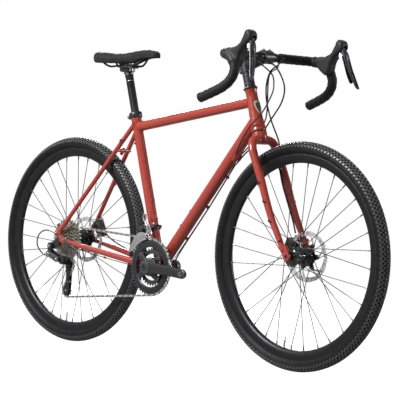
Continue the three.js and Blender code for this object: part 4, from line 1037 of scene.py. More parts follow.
def build_derailleur_bolts():
    bolts = Shape()
    bolts.bolt(V(HANGER.x, -89.6, HANGER.z), TO_DRIVE_SIDE, 5.2, 1.6)
    for x, z in (LINK_HIGH, LINK_LOW):
        bolts.revolve(V(x, -92.4, z), TO_DRIVE_SIDE, [(3, 0), (3, 1), (2.2, 1.6)], 16)
    bolts.revolve(V(TENSION.x, CHAIN_Y - 7, TENSION.z), ACROSS, [(3.9, 0), (3.9, 0.6), (3.1, 1),
                                                                 (3.1, 13.4)], 18)
    for k in range(2):
        bolts.bolt(V(KNUCKLE.x - 14 + 9 * k, -75, KNUCKLE.z + 17 - 3 * k), V(-0.3, 0, 1), 2.2, 3)
    bolts.bolt(V(LINK_HIGH[0] - 12, -88, LINK_HIGH[1] - 7), TO_DRIVE_SIDE, 4, 3.4)
    bolts.build("derailleur_bolts", "frame", SILVER)


TRIM_PIVOT = joint_at("front_derailleur_trim")


def build_derailleur_band():
    clamp = Shape()
    base = 132
    clamp.revolve(BB, SEAT_UP, [(SEAT_TUBE_R + 0.3, base - 7), (20, base - 7), (20.6, base - 6),
                                (20.6, base + 7), (20, base + 8), (SEAT_TUBE_R + 0.3, base + 8)], 48,
                  closed=True)
    clamp.block(on_seat_tube(base + 1, 19, 9), (12, 9, 12), 16, 2)
    clamp.block(on_seat_tube(base + 3, -3, -26), (30, 17, 19), 16, 3)
    clamp.block(on_seat_tube(base + 6, -25, -32), (20, 15, 15), 16, 3)
    clamp.build("derailleur_band", "frame", BLACK, ["front_derailleur_clamp"])


def build_front_cage():
    """The swinging arm, the cage's two plates and the three pins between them."""
    pivot = TRIM_PIVOT
    arm = Shape()
    arm.flat([stadium((pivot.x - 2, pivot.z - 4), (pivot.x + 6, pivot.z - 27), 9.5, 8),
              circle(pivot.x + 1, pivot.z - 10, 3.4, 14)], CHAIN_Y + 5.5, CHAIN_Y + 13, 1.6)
    outline = polar([(101, 112), (105, 117), (112, 122.5), (119, 125), (128, 121), (138, 116), (148, 113.5),
                     (156, 112)])
    outline += polar([(156, 106), (148, 99), (138, 94.5), (125, 92.5), (112, 92), (101, 92.5)])
    arm.flat([outline], CHAIN_Y - 7.4, CHAIN_Y - 6.0, 0.5)
    outline = polar([(99, 112), (112, 114), (130, 113), (154, 110), (154, 98), (138, 88), (118, 85),
                     (99, 86)])
    arm.flat([outline], CHAIN_Y + 5.0, CHAIN_Y + 6.3, 0.5)
    for degrees, radius in ((104, 110), (118, 119), (153, 107)):
        x, z = polar([(degrees, radius)])[0]
        arm.rod(V(x, CHAIN_Y - 7, z), V(x, CHAIN_Y + 5, z), 2.6, sides=16)
    arm.build("front_derailleur_swing", "front_derailleur_cage", SILVER, ["front_derailleur_cage"])


def build_front_anchor():
    """The cable ring above the arm, its stalk and two bolts."""
    pivot = TRIM_PIVOT
    anchor = Shape()
    top = V(pivot.x - 19, -40, pivot.z + 28)
    ring_path = [top + V(6.5 * math.cos(TAU * k / 20), 0, 13 * math.sin(TAU * k / 20)) for k in range(20)]
    anchor.sweep(ring_path, 2.4, 10, closed=True)
    anchor.sweep([top + V(1, 0, -13), V(pivot.x - 6, -39, pivot.z - 2)], [3.4, 4.2], 12)
    anchor.build("front_derailleur_anchor", "frame", STEEL)
    bolts = Shape()
    bolts.bolt(V(pivot.x - 14, -40.5, pivot.z + 2), TO_DRIVE_SIDE, 4.2, 1.8)
    bolts.bolt(V(pivot.x + 14, -33, pivot.z + 8), V(1, 0, 0.3), 3, 4)
    bolts.build("front_derailleur_bolts", "frame", STEEL)


# ---- brakes ----
def build_caliper(name, body, place, outward_degrees, node):
    """A disc caliper: two clamped halves over the disc, a bridge, bolts, an adapter and pad tabs."""
    turn = 90 - outward_degrees
    angle = math.radians(outward_degrees)
    outward = around(1, angle)
    along = V(-outward.z, 0, outward.x)
    shape = Shape()
    for side in (-1, 1):
        shape.block(place + ACROSS * (side * 8.6), (42, 11.5, 28), turn, 3.5)
        shape.revolve(place + ACROSS * (side * 13), ACROSS * side, [(12.5, 0), (12.5, 1.8), (11, 3),
                                                                    (4, 3.2)], 32)
    shape.block(place + outward * 13.5, (40, 26, 9), turn, 3)
    for side in (-1, 1):
        shape.revolve(place + along * (side * 27) + ACROSS * 9 + outward * -3, outward,
                      [(7, -6), (7.4, -5), (7.4, 5), (7, 6)], 24)
        shape.block(place + along * (side * 21) + ACROSS * 9, (14, 11, 9), turn, 2)
    shape.build(name, body, BLACK, [node])
    metal = Shape()
    for side in (-1, 1):
        metal.bolt(place + along * (side * 27) + ACROSS * 9 + outward * 3, outward, 4.6, 4)
        metal.block(place + outward * -14 + ACROSS * (side * 2.6), (16, 1.6, 8), turn, 0.4)
    metal.bolt(place + along * 8 + outward * 14 + ACROSS * 8, outward, 3.4, 5)
    metal.build(f"{name}_bolts", body, STEEL)


def build_brake_arm(name, body, place, y, reach, node):
    arm = Shape()
    arm.flat([stadium((place.x, place.z), (place.x + reach.x, place.z + reach.z), 9.5, 5.4)], y, y + 4, 0.8)
    arm.revolve(V(place.x, y + 4, place.z), ACROSS, [(6.5, -1), (6.5, 1), (5.4, 1.8), (2.6, 1.8),
                                                     (2.4, 0.8), (0.3, 0.8)], 24)
    arm.build(name, body, STEEL, [node], "black_anodised")


def build_brakes():
    rear, front = joint_at("rear_brake_arm"), joint_at("front_brake_arm")
    rear_heading = math.degrees(math.atan2(rear.z - REAR.z, rear.x - REAR.x))
    front_heading = math.degrees(math.atan2(front.z - FRONT.z, front.x - FRONT.x))
    build_caliper("rear_caliper", "frame", rear, rear_heading, "rear_brake_caliper")
    build_caliper("front_caliper", "steering", front, front_heading, "front_brake_caliper")
    build_brake_arm("rear_caliper_arm", "rear_brake_arm", rear, 72.4, V(-8, 0, 27), "rear_brake_arm")
    build_brake_arm("front_caliper_arm", "front_brake_arm", front, 56.9, V(2, 0, 27), "front_brake_arm")
    mount = Shape()
    mount.block(V(rear.x + 12, 64, rear.z - 20), (34, 11, 9), 30, 2)
    mount.rod(V(rear.x - 14, 66, rear.z - 10), V(rear.x - 20, 70, rear.z - 38), 5, sides=16)
    mount.build("rear_caliper_mount", "frame", BLACK)
    tabs = Shape()
    tabs.block(V(front.x + 27, 50, front.z + 16), (14, 10, 12), -24, 2)
    tabs.block(V(front.x + 40, 50, front.z - 30), (16, 10, 12), -24, 2)
    tabs.build("front_caliper_tabs", "steering", PAINT)
    adapter = Shape()
    adapter.block(V(front.x + 22, 49, front.z - 6), (12, 10, 58), -22, 3)
    adapter.build("front_caliper_adapter", "steering", BLACK)


# ---- fork ----
LEG = [(343, 8, 715), (352, 42, 708), (363, 55, 684), (376, 57, 655), (406, 57.5, 590), (431, 57.5, 527),
       (459, 57.5, 464), (476, 57, 434), (510, 56.5, 372)]
FORK_BOSSES = ((410, 580), (433.5, 521.5), (459.5, 462.5))


def build_fork():
    fork = Shape()
    for side in (-1, 1):
        leg = smooth_path(to_side(LEG, side), 44)
        last = len(leg) - 1
        radii = [(14.0 - 4.6 * (i / last) ** 1.4, 13.6 - 5.0 * (i / last) ** 1.3) for i in range(last + 1)]
        fork.sweep(leg, radii, 32, up=V(1, 0, 0.3))
        y_in, y_out = sorted((50.6 * side, 61 * side))
        fork.flat([[*arc(FRONT.x, FRONT.z, 12.8, -160, 62, 16), (FRONT.x + 1, FRONT.z + 26),
                    (FRONT.x - 8, FRONT.z + 36), (FRONT.x - 22, FRONT.z + 32),
                    (FRONT.x - 20, FRONT.z + 10)], circle(FRONT.x, FRONT.z, 6, 24)], y_in, y_out, 1.4)
        for x, z in FORK_BOSSES:
            fork.rod(V(x, 62 * side, z), V(x, 71.4 * side, z), 5.4, sides=20)
        fork.rod(V(497, 64 * side, 408), V(501, 67 * side, 402), 4, sides=14)
    fork.revolve(HEAD_LOW, STEER_UP, [(17, -36), (22, -31), (24, -24), (24.2, -8), (23.6, -5.2), (14, -5)],
                 48)
    fork.rod(V(345, -26, 712), V(345, 26, 712), 14.5, sides=32)
    fork.build("fork_blades", "steering", PAINT, ["fork"])
    build_fork_screws()


def build_fork_screws():
    screws = Shape()
    for side in (-1, 1):
        for x, z in FORK_BOSSES:
            screws.bolt(V(x, 71.2 * side, z), ACROSS * side, 4.4, 2.6)
        screws.bolt(V(500, 66.5 * side, 403), V(3, 3 * side, -4), 3.6, 2.6)
    screws.bolt(V(359, 0, 708), V(1, 0, -0.15), 4.6, 2)
    screws.build("fork_screws", "steering", BLACK)


def build_axles():
    axle = Shape()
    axle.revolve(V(FRONT.x, -60.6, FRONT.z), ACROSS, [(5.8, 0), (5.8, 121), (10, 121.4), (10, 124),
                                                      (8.6, 125), (4, 125), (3.6, 122.5), (0.3, 122.4)], 28)
    axle.build("front_axle_rod", "steering", BLACK, ["front_thru_axle"])
    rear = Shape()
    rear.revolve(V(REAR.x, -81, REAR.z), ACROSS, [(5.4, 0), (5.9, 0.6), (5.9, 160.2), (10.5, 160.6),
                                                  (10.5, 163.4), (9, 164.4), (4, 164.4), (3.6, 161.9),
                                                  (0.3, 161.8)], 28)
    rear.build("rear_axle_rod", "frame", BLACK, ["rear_thru_axle"])


# ---- cockpit ----
BAR_CENTRE = V(355, 0, 972)
TAPE_START = 60
BAR = [(355, TAPE_START, 972), (355, 150, 972), (360, 182, 971.7), (372, 201, 970.5), (391, 213, 967.5),
       (414, 217, 958), (431, 220.5, 938), (437, 226, 910), (426, 233, 884), (402, 240, 864),
       (365, 245.5, 848), (321, 249.4, 832.4)]
STEM_TOP = STEM_FOOT + STEM_HEIGHT


def clamp_rings(along, upward, start, end, edge):
    """Half of the bar clamp, from one angle round the bar to another."""
    section = ((16.2, -21), (edge, -21), (21.4, -19.5), (21.4, 19.5), (edge, 21), (16.2, 21))
    rings = []
    for k in range(15):
        angle = math.radians(start + (end - start) * k / 14)
        spread = along * math.cos(angle) + upward * math.sin(angle)
        rings.append([BAR_CENTRE + spread * r + ACROSS * y for r, y in section])
    return rings


def build_spacers():
    spacers = Shape()
    start, end = HEAD_LENGTH + 11.6, STEM_FOOT
    count = 3
    for k in range(count):
        low = start + (end - start) * k / count + 0.25
        high = start + (end - start) * (k + 1) / count - 0.25
        spacers.revolve(HEAD_LOW, STEER_UP, [(14.8, low), (16.8, low), (17.3, low + 0.5),
                                             (17.3, high - 0.5), (16.8, high), (14.8, high)], 44,
                        closed=True)
    spacers.build("spacer_stack", "steering", BLACK, ["headset_spacers"])


def build_stem():
    """The clamp on the steerer, the neck up to the bar, the faceplate and their bolts."""
    stem = Shape()
    stem.revolve(HEAD_LOW, STEER_UP, [(14.8, STEM_FOOT + 0.4), (18.4, STEM_FOOT + 0.4),
                                      (19.6, STEM_FOOT + 1.6), (19.6, STEM_TOP - 1.6),
                                      (18.4, STEM_TOP - 0.2), (14.8, STEM_TOP - 0.2)], 44, closed=True)
    stem.block(on_steerer(STEM_FOOT + 22, -19, 0), (14, 22, 38), -17.7, 3)
    middle = on_steerer(STEM_FOOT + STEM_HEIGHT / 2)
    along = (BAR_CENTRE - middle).normalized()
    upward = V(-along.z, 0, along.x)
    neck = even_path([middle + along * 8, BAR_CENTRE - along * 15], 12)
    stem.sweep(neck, [(17.5 - 0.1 * i, 15.5 + 0.25 * abs(i - 5)) for i in range(12)], 32, up=upward,
               power=2.8)
    stem.rings(clamp_rings(along, upward, 95, 265, 20.6))
    stem.build("stem_body", "steering", BLACK, ["stem"])

    face = Shape()
    face.rings(clamp_rings(along, upward, -84, 84, 20.2))
    corners = [BAR_CENTRE + upward * (19 * up) + ACROSS * (14 * side) for up in (-1, 1) for side in (-1, 1)]
    for corner in corners:
        face.rod(corner + along * 1, corner + along * 10, 5, sides=20)
    face.build("faceplate", "steering", BLACK, ["stem_faceplate"])

    bolts = Shape()
    for corner in corners:
        bolts.bolt(corner + along * 9.8, along, 3.9, 2.4)
    for up in (-1, 1):
        bolts.bolt(on_steerer(STEM_FOOT + 22 + 11 * up, -20, -11), TO_DRIVE_SIDE, 3.9, 2.6)
    bolts.bolt(on_steerer(STEM_TOP + 8.2), STEER_UP, 4.6, 1.6)
    bolts.build("stem_bolts", "steering", SILVER)


def build_top_cap():
    cap = Shape()
    cap.revolve(HEAD_LOW, STEER_UP, [(10, STEM_TOP + 0.2), (18, STEM_TOP + 0.2), (18.6, STEM_TOP + 1),
                                     (18.4, STEM_TOP + 4), (16.4, STEM_TOP + 7.4), (9, STEM_TOP + 8.2)], 44)
    cap.build("top_cap", "steering", BLACK, ["headset_top_cap"])


def build_bar():
    bar = Shape()
    half_path = smooth_path(to_side(BAR, 1), 40)
    mirrored = to_side(reversed(half_path), -1)
    middle = [V(BAR_CENTRE.x, y, BAR_CENTRE.z) for y in (-52, -44, -38, -30, 0, 30, 38, 44, 52)]
    radii = [11.9] * 40 + [11.9, 13, 15.2, 15.9, 15.9, 15.9, 15.2, 13, 11.9] + [11.9] * 40
    bar.sweep(mirrored + middle + half_path, radii, 32)
    bar.build("bare_bar", "steering", BLACK, ["handlebar"])


def build_tape(side, word):
    """Padded tape wound round the bar: each turn overlaps the last and leaves a soft step."""
    last = 329
    path = smooth_path(to_side(BAR, side), last + 1)
    length = sum((b - a).length for a, b in zip(path, path[1:]))
    turn_width = 24.0
    sides = 30
    shape = Shape()
    rings = []
    normal = UP
    for i, point in enumerate(path):
        tangent = (path[min(i + 1, last)] - path[max(i - 1, 0)]).normalized()
        normal = (normal - tangent * normal.dot(tangent)).normalized()
        across = tangent.cross(normal)
        travelled = length * i / last
        ring = []
        for k in range(sides):
            share = k / sides
            position = (travelled / turn_width + side * share) % 1.0
            step = 0.95 * (1 - position) ** 1.2 + 0.55 * math.exp(-((position - 0.08) / 0.05) ** 2)
            swell = 0.35 * math.sin(math.pi * position)
            radius = 14.5 + step + swell
            if i < 3 or i > last - 3:
                radius = min(radius, 14.6)
            angle = TAU * share
            ring.append(point + normal * (radius * math.cos(angle)) + across * (radius * math.sin(angle)))
        rings.append(ring)
    shape.rings(rings)
    shape.build(f"wrapped_tape_{word}", "steering", TAPE, [f"bar_tape_{word}"], smooth=50)
    ends = Shape()
    heading = (path[-1] - path[-3]).normalized()
    ends.revolve(path[-1], heading, [(14.2, -1), (15.4, 0), (15.6, 1.6), (14.4, 3.2), (9, 4.2), (3, 4.4)], 32)
    begin = (path[2] - path[0]).normalized()
    ends.revolve(path[0], begin, [(13.2, -7), (13.6, -6), (15.2, 1), (15.9, 6), (15.9, 14), (15.2, 15)], 32)
    ends.build(f"bar_plug_and_tape_end_{word}", "steering", PLASTIC)


HOOD_Y = 210
HOOD_OUTLINE = [(392, 986), (425, 990), (450, 1001), (464, 1022), (476, 1038), (491, 1039), (503, 1026),
                (502, 1006), (478, 988), (459, 966), (451, 940), (434, 922), (410, 934), (392, 954)]


def build_hood(side, word):
    centre_y = HOOD_Y * side
    hood = Shape()
    for half_width, inset in ((19, 9), (14, 3)):
        outline = inset_outline(smooth_loop(HOOD_OUTLINE, 72), inset)
        hood.flat([outline], centre_y - half_width, centre_y + half_width, 2.5)
    hood.flat([inset_outline(smooth_loop(HOOD_OUTLINE, 72), 6)], centre_y - 17.5, centre_y + 17.5, 2.5)
    wrap = smooth_path(to_side(BAR[3:7], side), 22)
    hood.sweep(wrap, [(17.2 + 0.7 * math.sin(math.pi * i / 21),) * 2 for i in range(22)], 32)
    knob = V(487, centre_y, 1022)
    hood.sweep([knob + V(-13, 0, -12), knob + V(-5, 0, 2), knob + V(1, 0, 9), knob + V(3, 0, 13.5)],
               [(12, 15), (14, 18.5), (13.5, 18), (10, 14)], 30, up=V(1, 0, 0.2), power=3.0)
    obj = hood.build(f"rubber_hood_{word}", "steering", HOOD, [f"{word}_hood", f"{word}_lever_body"],
                     smooth=180)
    fuse(obj, 0.0017, 12)
    hollow(obj, V(511, centre_y, 994), (66, 18, 50))
    liner = Shape()
    liner.block(V(476.5, centre_y, 999), (5, 16, 34), 0, 1)
    liner.build(f"lever_bracket_{word}", "steering", GLOSS_BLACK, slot="dark_lever")


def fuse(obj, voxel, rounds):
    """Melts overlapping forms into one soft skin."""
    modifier = obj.modifiers.new("skin", "REMESH")
    modifier.mode = "VOXEL"
    modifier.voxel_size = voxel
    modifier.use_smooth_shade = True
    relax = obj.modifiers.new("relax", "SMOOTH")
    relax.factor = 0.6
    relax.iterations = rounds
    apply_modifiers(obj, 180)


def hollow(obj, centre, size):
    """Cuts a block-shaped room out of a piece."""
    mesh = Shape().block(centre, size, 0, 3).mesh("room")
    tool = new_object("room", mesh)
    modifier = obj.modifiers.new("room", "BOOLEAN")
    modifier.operation = "DIFFERENCE"
    modifier.solver = "EXACT"
    modifier.object = tool
    apply_modifiers(obj, 50)
    bpy.data.objects.remove(tool)
    bpy.data.meshes.remove(mesh)


def build_lever(side, word):
    body = f"{word}_brake_lever"
    pivot = joint_at(body)
    y = pivot.y
    blade = Shape()
    places = to_side([(489, 0, 1011), (495, 2, 1001), (500, 5, 988), (504.5, 9, 970), (510, 14, 948),
                      (517, 21, 924), (523, 28.5, 903), (527, 33, 890), (532, 35, 884)], side, y)
    count = 40
    share = np.linspace(0, 1, count)
    widths = np.interp(share, [0, 0.08, 0.2, 0.45, 0.7, 0.9, 0.97, 1], [8, 11, 13.5, 12.5, 11, 9, 7.5, 4])
    depths = np.interp(share, [0, 0.15, 0.35, 0.6, 0.93, 1], [5, 6.0, 4.4, 3.6, 3.2, 1.8])
    blade.sweep(smooth_path(places, count), [(float(d), float(w)) for d, w in zip(depths, widths)], 28,
                up=V(1, 0, 0.35), power=2.2)
    blade.revolve(V(pivot.x, y - 6.9, pivot.z), ACROSS, [(7, 0), (8, 0.8), (8, 13), (7, 13.8)], 28)
    blade.build(f"brake_blade_{word}", body, LEVER_ALLOY, [body], smooth=60)
    trim = Shape()
    ridge = [p + V(3.2, 0, 1.4) for p in places[1:8]]
    trim.sweep(smooth_path(ridge, 26), [(1.6, 3.4 - 0.05 * i) for i in range(26)], 20, up=V(1, 0, 0.35),
               power=2.4)
    trim.build(f"lever_face_{word}", body, GLOSS_BLACK, slot="dark_lever", smooth=60)


def build_paddle(side, word):
    body = f"{word}_shift_paddle"
    root = joint_at(body)
    y = joint_at(f"{word}_brake_lever").y
    paddle = Shape()
    drops = ((0, 0, 0), (7, 2, -20), (12, 6, -40), (17, 12, -60), (21, 18, -76), (21, 22, -86))
    places = to_side([(root.x + x, dy, root.z + z) for x, dy, z in drops], side, y)
    widths = np.interp(np.linspace(0, 1, 24), [0, 0.4, 0.75, 0.92, 1], [6, 7, 11, 11, 6])
    paddle.sweep(smooth_path(places, 24), [(2.2, float(w)) for w in widths], 22, up=V(1, 0, 0.2), power=2.6)
    paddle.build(f"paddle_{word}", body, GLOSS_BLACK, [body], "dark_lever", smooth=60)


# ---- wheels ----
KNOB_HEIGHT = 2.8
TREAD_ROWS = 156
SPOKES = 32
CROSSES = 3
FLANGE_R = 28.5
RIM_IN = 288.4


TYRE_CENTRE = WHEEL_R - TYRE_HALF
CASING_R = TYRE_HALF - KNOB_HEIGHT


def side_wall_shape():
    """The casing, hollow and open to the rim, with three raised lines on each side."""
    centre, casing = TYRE_CENTRE, CASING_R
    side_wall = Shape()
    profile = [(centre + casing * math.cos(math.radians(a)), casing * math.sin(math.radians(a)))
               for a in np.linspace(-128, 128, 33)]
    profile += [(318.0, 12.6), (316.0, 9.6), (312.4, 9.0), (312.2, 6.6)]
    profile += [(centre + (casing - 2.6) * math.cos(math.radians(a)), (casing - 2.6)
                 * math.sin(math.radians(a))) for a in np.linspace(122, -122, 9)]
    profile += [(312.2, -6.6), (312.4, -9.0), (316.0, -9.6), (318.0, -12.6)]
    side_wall.revolve(ORIGIN, ACROSS, profile, 180, closed=True)
    for side in (-1, 1):
        for degrees, size in ((84, 0.5), (98, 0.6), (112, 0.8)):
            a = math.radians(degrees)
            radius, y = centre + casing * math.cos(a), casing * math.sin(a) * side
            side_wall.revolve(V(0, y, 0), ACROSS, [(radius - 1.2, 0), (radius, size * side),
                                                   (radius + 1.2, 0), (radius, -0.6 * side)], 160,
                              closed=True)
    return side_wall


def tread_shape():
    """Eight staggered columns of knobs round the tyre."""
    centre, casing = TYRE_CENTRE, CASING_R
    tread = Shape()
    columns = ((-68, 3.2, 4.2), (-51, 4.0, 3.7), (-32, 2.9, 4.4), (-11, 2.7, 4.8), (11, 2.7, 4.8),
               (32, 2.9, 4.4), (51, 4.0, 3.7), (68, 3.2, 4.2))
    for column, (degrees, half_width, half_length) in enumerate(columns):
        lean = math.radians(degrees)
        outward = (math.cos(lean), math.sin(lean))
        sideways = (-math.sin(lean), math.cos(lean))
        for row in range(TREAD_ROWS):
            spin = TAU * (row + 0.5 * (column % 2)) / TREAD_ROWS
            rings = []
            for height, shrink in ((-0.6, 1.15), (KNOB_HEIGHT - 0.5, 1.0), (KNOB_HEIGHT, 0.82)):
                ring = []
                for su, sv in ((-1, -1), (1, -1), (1, 1), (-1, 1)):
                    radial = (casing + height) * outward[0] + su * half_width * shrink * sideways[0]
                    y = (casing + height) * outward[1] + su * half_width * shrink * sideways[1]
                    radius = centre + radial
                    angle = spin + (sv * half_length * shrink + 0.9 * su * (1 if degrees > 0 else
                                                                            -1)) / radius
                    ring.append(around(radius, angle, y))
                rings.append(ring)
            tread.rings(rings)
    return tread


def rim_shape():
    rim = Shape()
    half = [(RIM_IN, 0), (RIM_IN + 0.2, 3), (RIM_IN + 1.6, 6.2), (294, 9.6), (300, 11.6), (308, 12.2),
            (315, 12.2), (316.6, 11.8), (317, 11), (316.6, 10), (313, 9.8), (311.6, 9.4), (310, 6),
            (306, 4), (305.5, 0)]
    mirrored = [(r, -y) for r, y in reversed(half[1:-1])]
    return rim.revolve(ORIGIN, ACROSS, half + mirrored, 180, closed=True)


def flange_rim(y):
    return (31.6, y - 1.6), (32, y), (31.6, y + 1.6)


def build_wheel(prefix, axle, left_flange, right_flange, left_end, right_end, rotor_y, shapes, valve_degrees):
    body = f"{prefix}_wheel"
    at = axle.copy()
    side_wall, tread, rim = shapes
    side_wall.build(f"{prefix}_tyre_casing", body, SIDEWALL, [f"{prefix}_tyre"], location=at)
    tread.build(f"{prefix}_tread_blocks", body, TYRE, location=at, smooth=30)
    rim.build(f"{prefix}_rim_hoop", body, BLACK, [f"{prefix}_rim"], location=at)
    build_spokes(prefix, body, at, left_flange, right_flange, valve_degrees)

    hub = Shape()
    hub.revolve(ORIGIN, ACROSS, [(6.6, right_end), (9.5, right_end), (10.5, right_end + 1),
                                 (11, right_end + 8), (15, right_flange - 9), (17, right_flange - 6),
                                 (23, right_flange - 2.2), *flange_rim(right_flange),
                                 (23, right_flange + 2.6), (17.5, right_flange + 8), (16.5, 0),
                                 (17.5, left_flange - 8), (23, left_flange - 2.6), *flange_rim(left_flange),
                                 (24, left_flange + 2.4), (22.5, left_flange + 6), (22.5, rotor_y - 1.4),
                                 (18, rotor_y - 1.2), (16, rotor_y + 4), (11, rotor_y + 5),
                                 (10.5, left_end - 1), (9.5, left_end), (6.6, left_end)], 64, closed=True)
    hub.build(f"{prefix}_hub_body", body, GLOSS_BLACK, [f"{prefix}_hub"], location=at)
    build_disc(prefix, body, at, rotor_y)

    valve = Shape()
    angle = math.radians(valve_degrees)
    inward = around(-1, angle)
    root = inward * -(RIM_IN + 2)
    valve.revolve(root, inward, [(3.1, 0), (3.1, 6), (3.0, 26), (2.2, 27), (2.0, 30), (2.6, 30.6),
                                 (2.6, 33), (1.2, 34)], 16)
    valve.revolve(root, inward, [(4.6, 1.8), (4.6, 4.2), (3.2, 4.8)], 12)
    valve.build(f"{prefix}_valve", body, SILVER, location=at)


def build_spokes(prefix, body, at, left_flange, right_flange, valve_degrees):
    spokes, nipples = Shape(), Shape()
    crossing = 2 * CROSSES * TAU / SPOKES
    start_angle = math.radians(valve_degrees) + TAU / SPOKES / 2
    for i in range(SPOKES):
        left = i % 2 == 0
        flange = left_flange if left else right_flange
        leading = 1 if (i // 2) % 2 == 0 else -1
        rim_angle = start_angle + TAU * i / SPOKES
        hub_angle = rim_angle + leading * crossing
        side = 1 if left else -1
        inner = around(FLANGE_R, hub_angle, flange + 2.6 * leading)
        head = V(inner.x, flange - 2.6 * leading, inner.z)
        outer = around(RIM_IN + 1, rim_angle, 2.2 * side)
        direction = (outer - inner).normalized()
        spokes.sweep([head, head.lerp(inner, 0.75), inner + direction * 1.6, inner + direction * 20,
                      outer - direction * 8], [1.3, 1.3, 1.3, 1.2, 1.2], 8)
        nipples.sweep([outer - direction * 14, outer - direction * 13, outer - direction * 3, outer],
                      [1.8, 2.1, 2.3, 2.5], 8)
        nipples.revolve(head, V(0, -leading, 0), [(2.1, -0.6), (2.1, 0.4), (1.2, 1.0)], 10)
    spokes.build(f"{prefix}_spoke_set", body, SPOKE_STEEL, [f"{prefix}_spokes"], location=at)
    nipples.build(f"{prefix}_nipples", body, GREY_ALLOY, slot="silver_steel", location=at)


def build_disc(prefix, body, at, y):
    """A steel braking band on slanted arms, bolted to a black carrier with six scallops."""
    disc, carrier, screws = Shape(), Shape(), Shape()
    edge = [TAU * k / 144 for k in range(144)]
    outline = [spot(79.2 + 0.8 * math.cos(12 * a), a) for a in edge]
    opening = [spot(65 + 1.5 * math.cos(6 * a), a) for a in edge]
    holes = []
    for k in range(36):
        radius = 69.2 + 2.7 * (k % 3)
        angle = TAU * k / 36
        holes.append(circle(*spot(radius, angle), 2.1, 10))
    disc.flat([outline, opening, *holes], y - 0.9, y + 0.9, 0.15)
    for k in range(6):
        turn = 360 * k / 6
        disc.flat([[*arc(0, 0, 67, turn + 17, turn + 25, 3), *arc(0, 0, 44, turn + 5, turn - 5, 3)]],
                  y - 0.85, y + 0.85, 0.12)
    disc.build(f"{prefix}_disc", body, ROTOR_STEEL, [f"{prefix}_rotor"], location=at)
    star = [31 + 18 * max(0, math.cos(6 * a)) ** 0.8 for a in edge]
    carrier.flat([[spot(r, a) for r, a in zip(star, edge)], circle(0, 0, 17, 32)], y - 1.4, y + 1.4, 0.3)
    carrier.build(f"{prefix}_disc_carrier", body, BLACK, location=at)
    for k in range(6):
        angle = TAU * k / 6
        screws.bolt(around(22, angle, y + 1.2), ACROSS, 3.4, 2)
        for face in (-1, 1):
            screws.revolve(around(45, angle, y + 1.4 * face), ACROSS * face,
                           [(3, -0.4), (3, 0.5), (2.2, 0.8)], 14)
    screws.build(f"{prefix}_disc_bolts", body, STEEL, location=at)


# ---- seatpost and saddle ----
SADDLE_SECTION = ((0.00, 0.00), (0.22, 0.00), (0.42, 0.01), (0.60, 0.035), (0.74, 0.08), (0.85, 0.15),
                  (0.93, 0.26), (0.98, 0.42), (1.00, 0.60), (0.99, 0.78), (0.965, 0.91), (0.93, 0.985),
                  (0.88, 1.00), (0.82, 0.94), (0.74, 0.78), (0.60, 0.62), (0.35, 0.55), (0.00, 0.53))
SEAM = 8


def saddle_width(x):
    stations = (-404, -400, -392, -376, -345, -315, -285, -255, -220, -180, -152, -140, -134)
    widths = (30, 46, 60, 70, 72.5, 67, 53, 39, 28, 22, 19, 15, 8)
    return float(np.interp(x, stations, widths))


def saddle_top(x):
    stations = (-404, -392, -372, -340, -300, -262, -225, -192, -165, -148, -138, -134)
    heights = (998, 1002.5, 1003.5, 1000, 995, 997, 1003, 1006, 1005.5, 1002, 996, 990)
    return float(np.interp(x, stations, heights))


def saddle_depth(x):
    stations = (-404, -398, -388, -372, -340, -300, -262, -225, -192, -165, -148, -138, -134)
    depths = (16, 28, 38, 42, 40, 36, 34, 32, 29, 27, 24, 18, 11)
    return float(np.interp(x, stations, depths))


def saddle_skin(x, k, side, lift=0.0):
    """Point k of the cover's section at x, from the middle of the top round the edge to the underside."""
    share, fall = SADDLE_SECTION[k]
    tail = max(0.0, min(1.0, (-330 - x) / 45))
    waist = max(0.0, min(1.0, (x + 350) / 50)) * max(0.0, min(1.0, (-180 - x) / 40))
    dip = (5.0 * tail + 2.4 * waist) * math.exp(-(share / 0.36) ** 2) * (fall < 0.3)
    y = side * (saddle_width(x) * share + lift * share)
    return V(x, y, saddle_top(x) - saddle_depth(x) * fall - dip + lift * (1 - fall))


def saddle_ring(x):
    last = len(SADDLE_SECTION) - 1
    left = [saddle_skin(x, k, 1) for k in range(last + 1)]
    return left + [saddle_skin(x, k, -1) for k in range(last - 1, 0, -1)]


def saddle_stations(count):
    """Places along the saddle, closer together at both ends."""
    return [-269 - 135 * math.cos(math.pi * i / count) for i in range(count + 1)]


def sheet(shape, rows, thickness):
    drop = V(0, 0, -thickness)
    shape.rings([[*row, *[p + drop for p in reversed(row)]] for row in rows])


RAIL_Z = 953


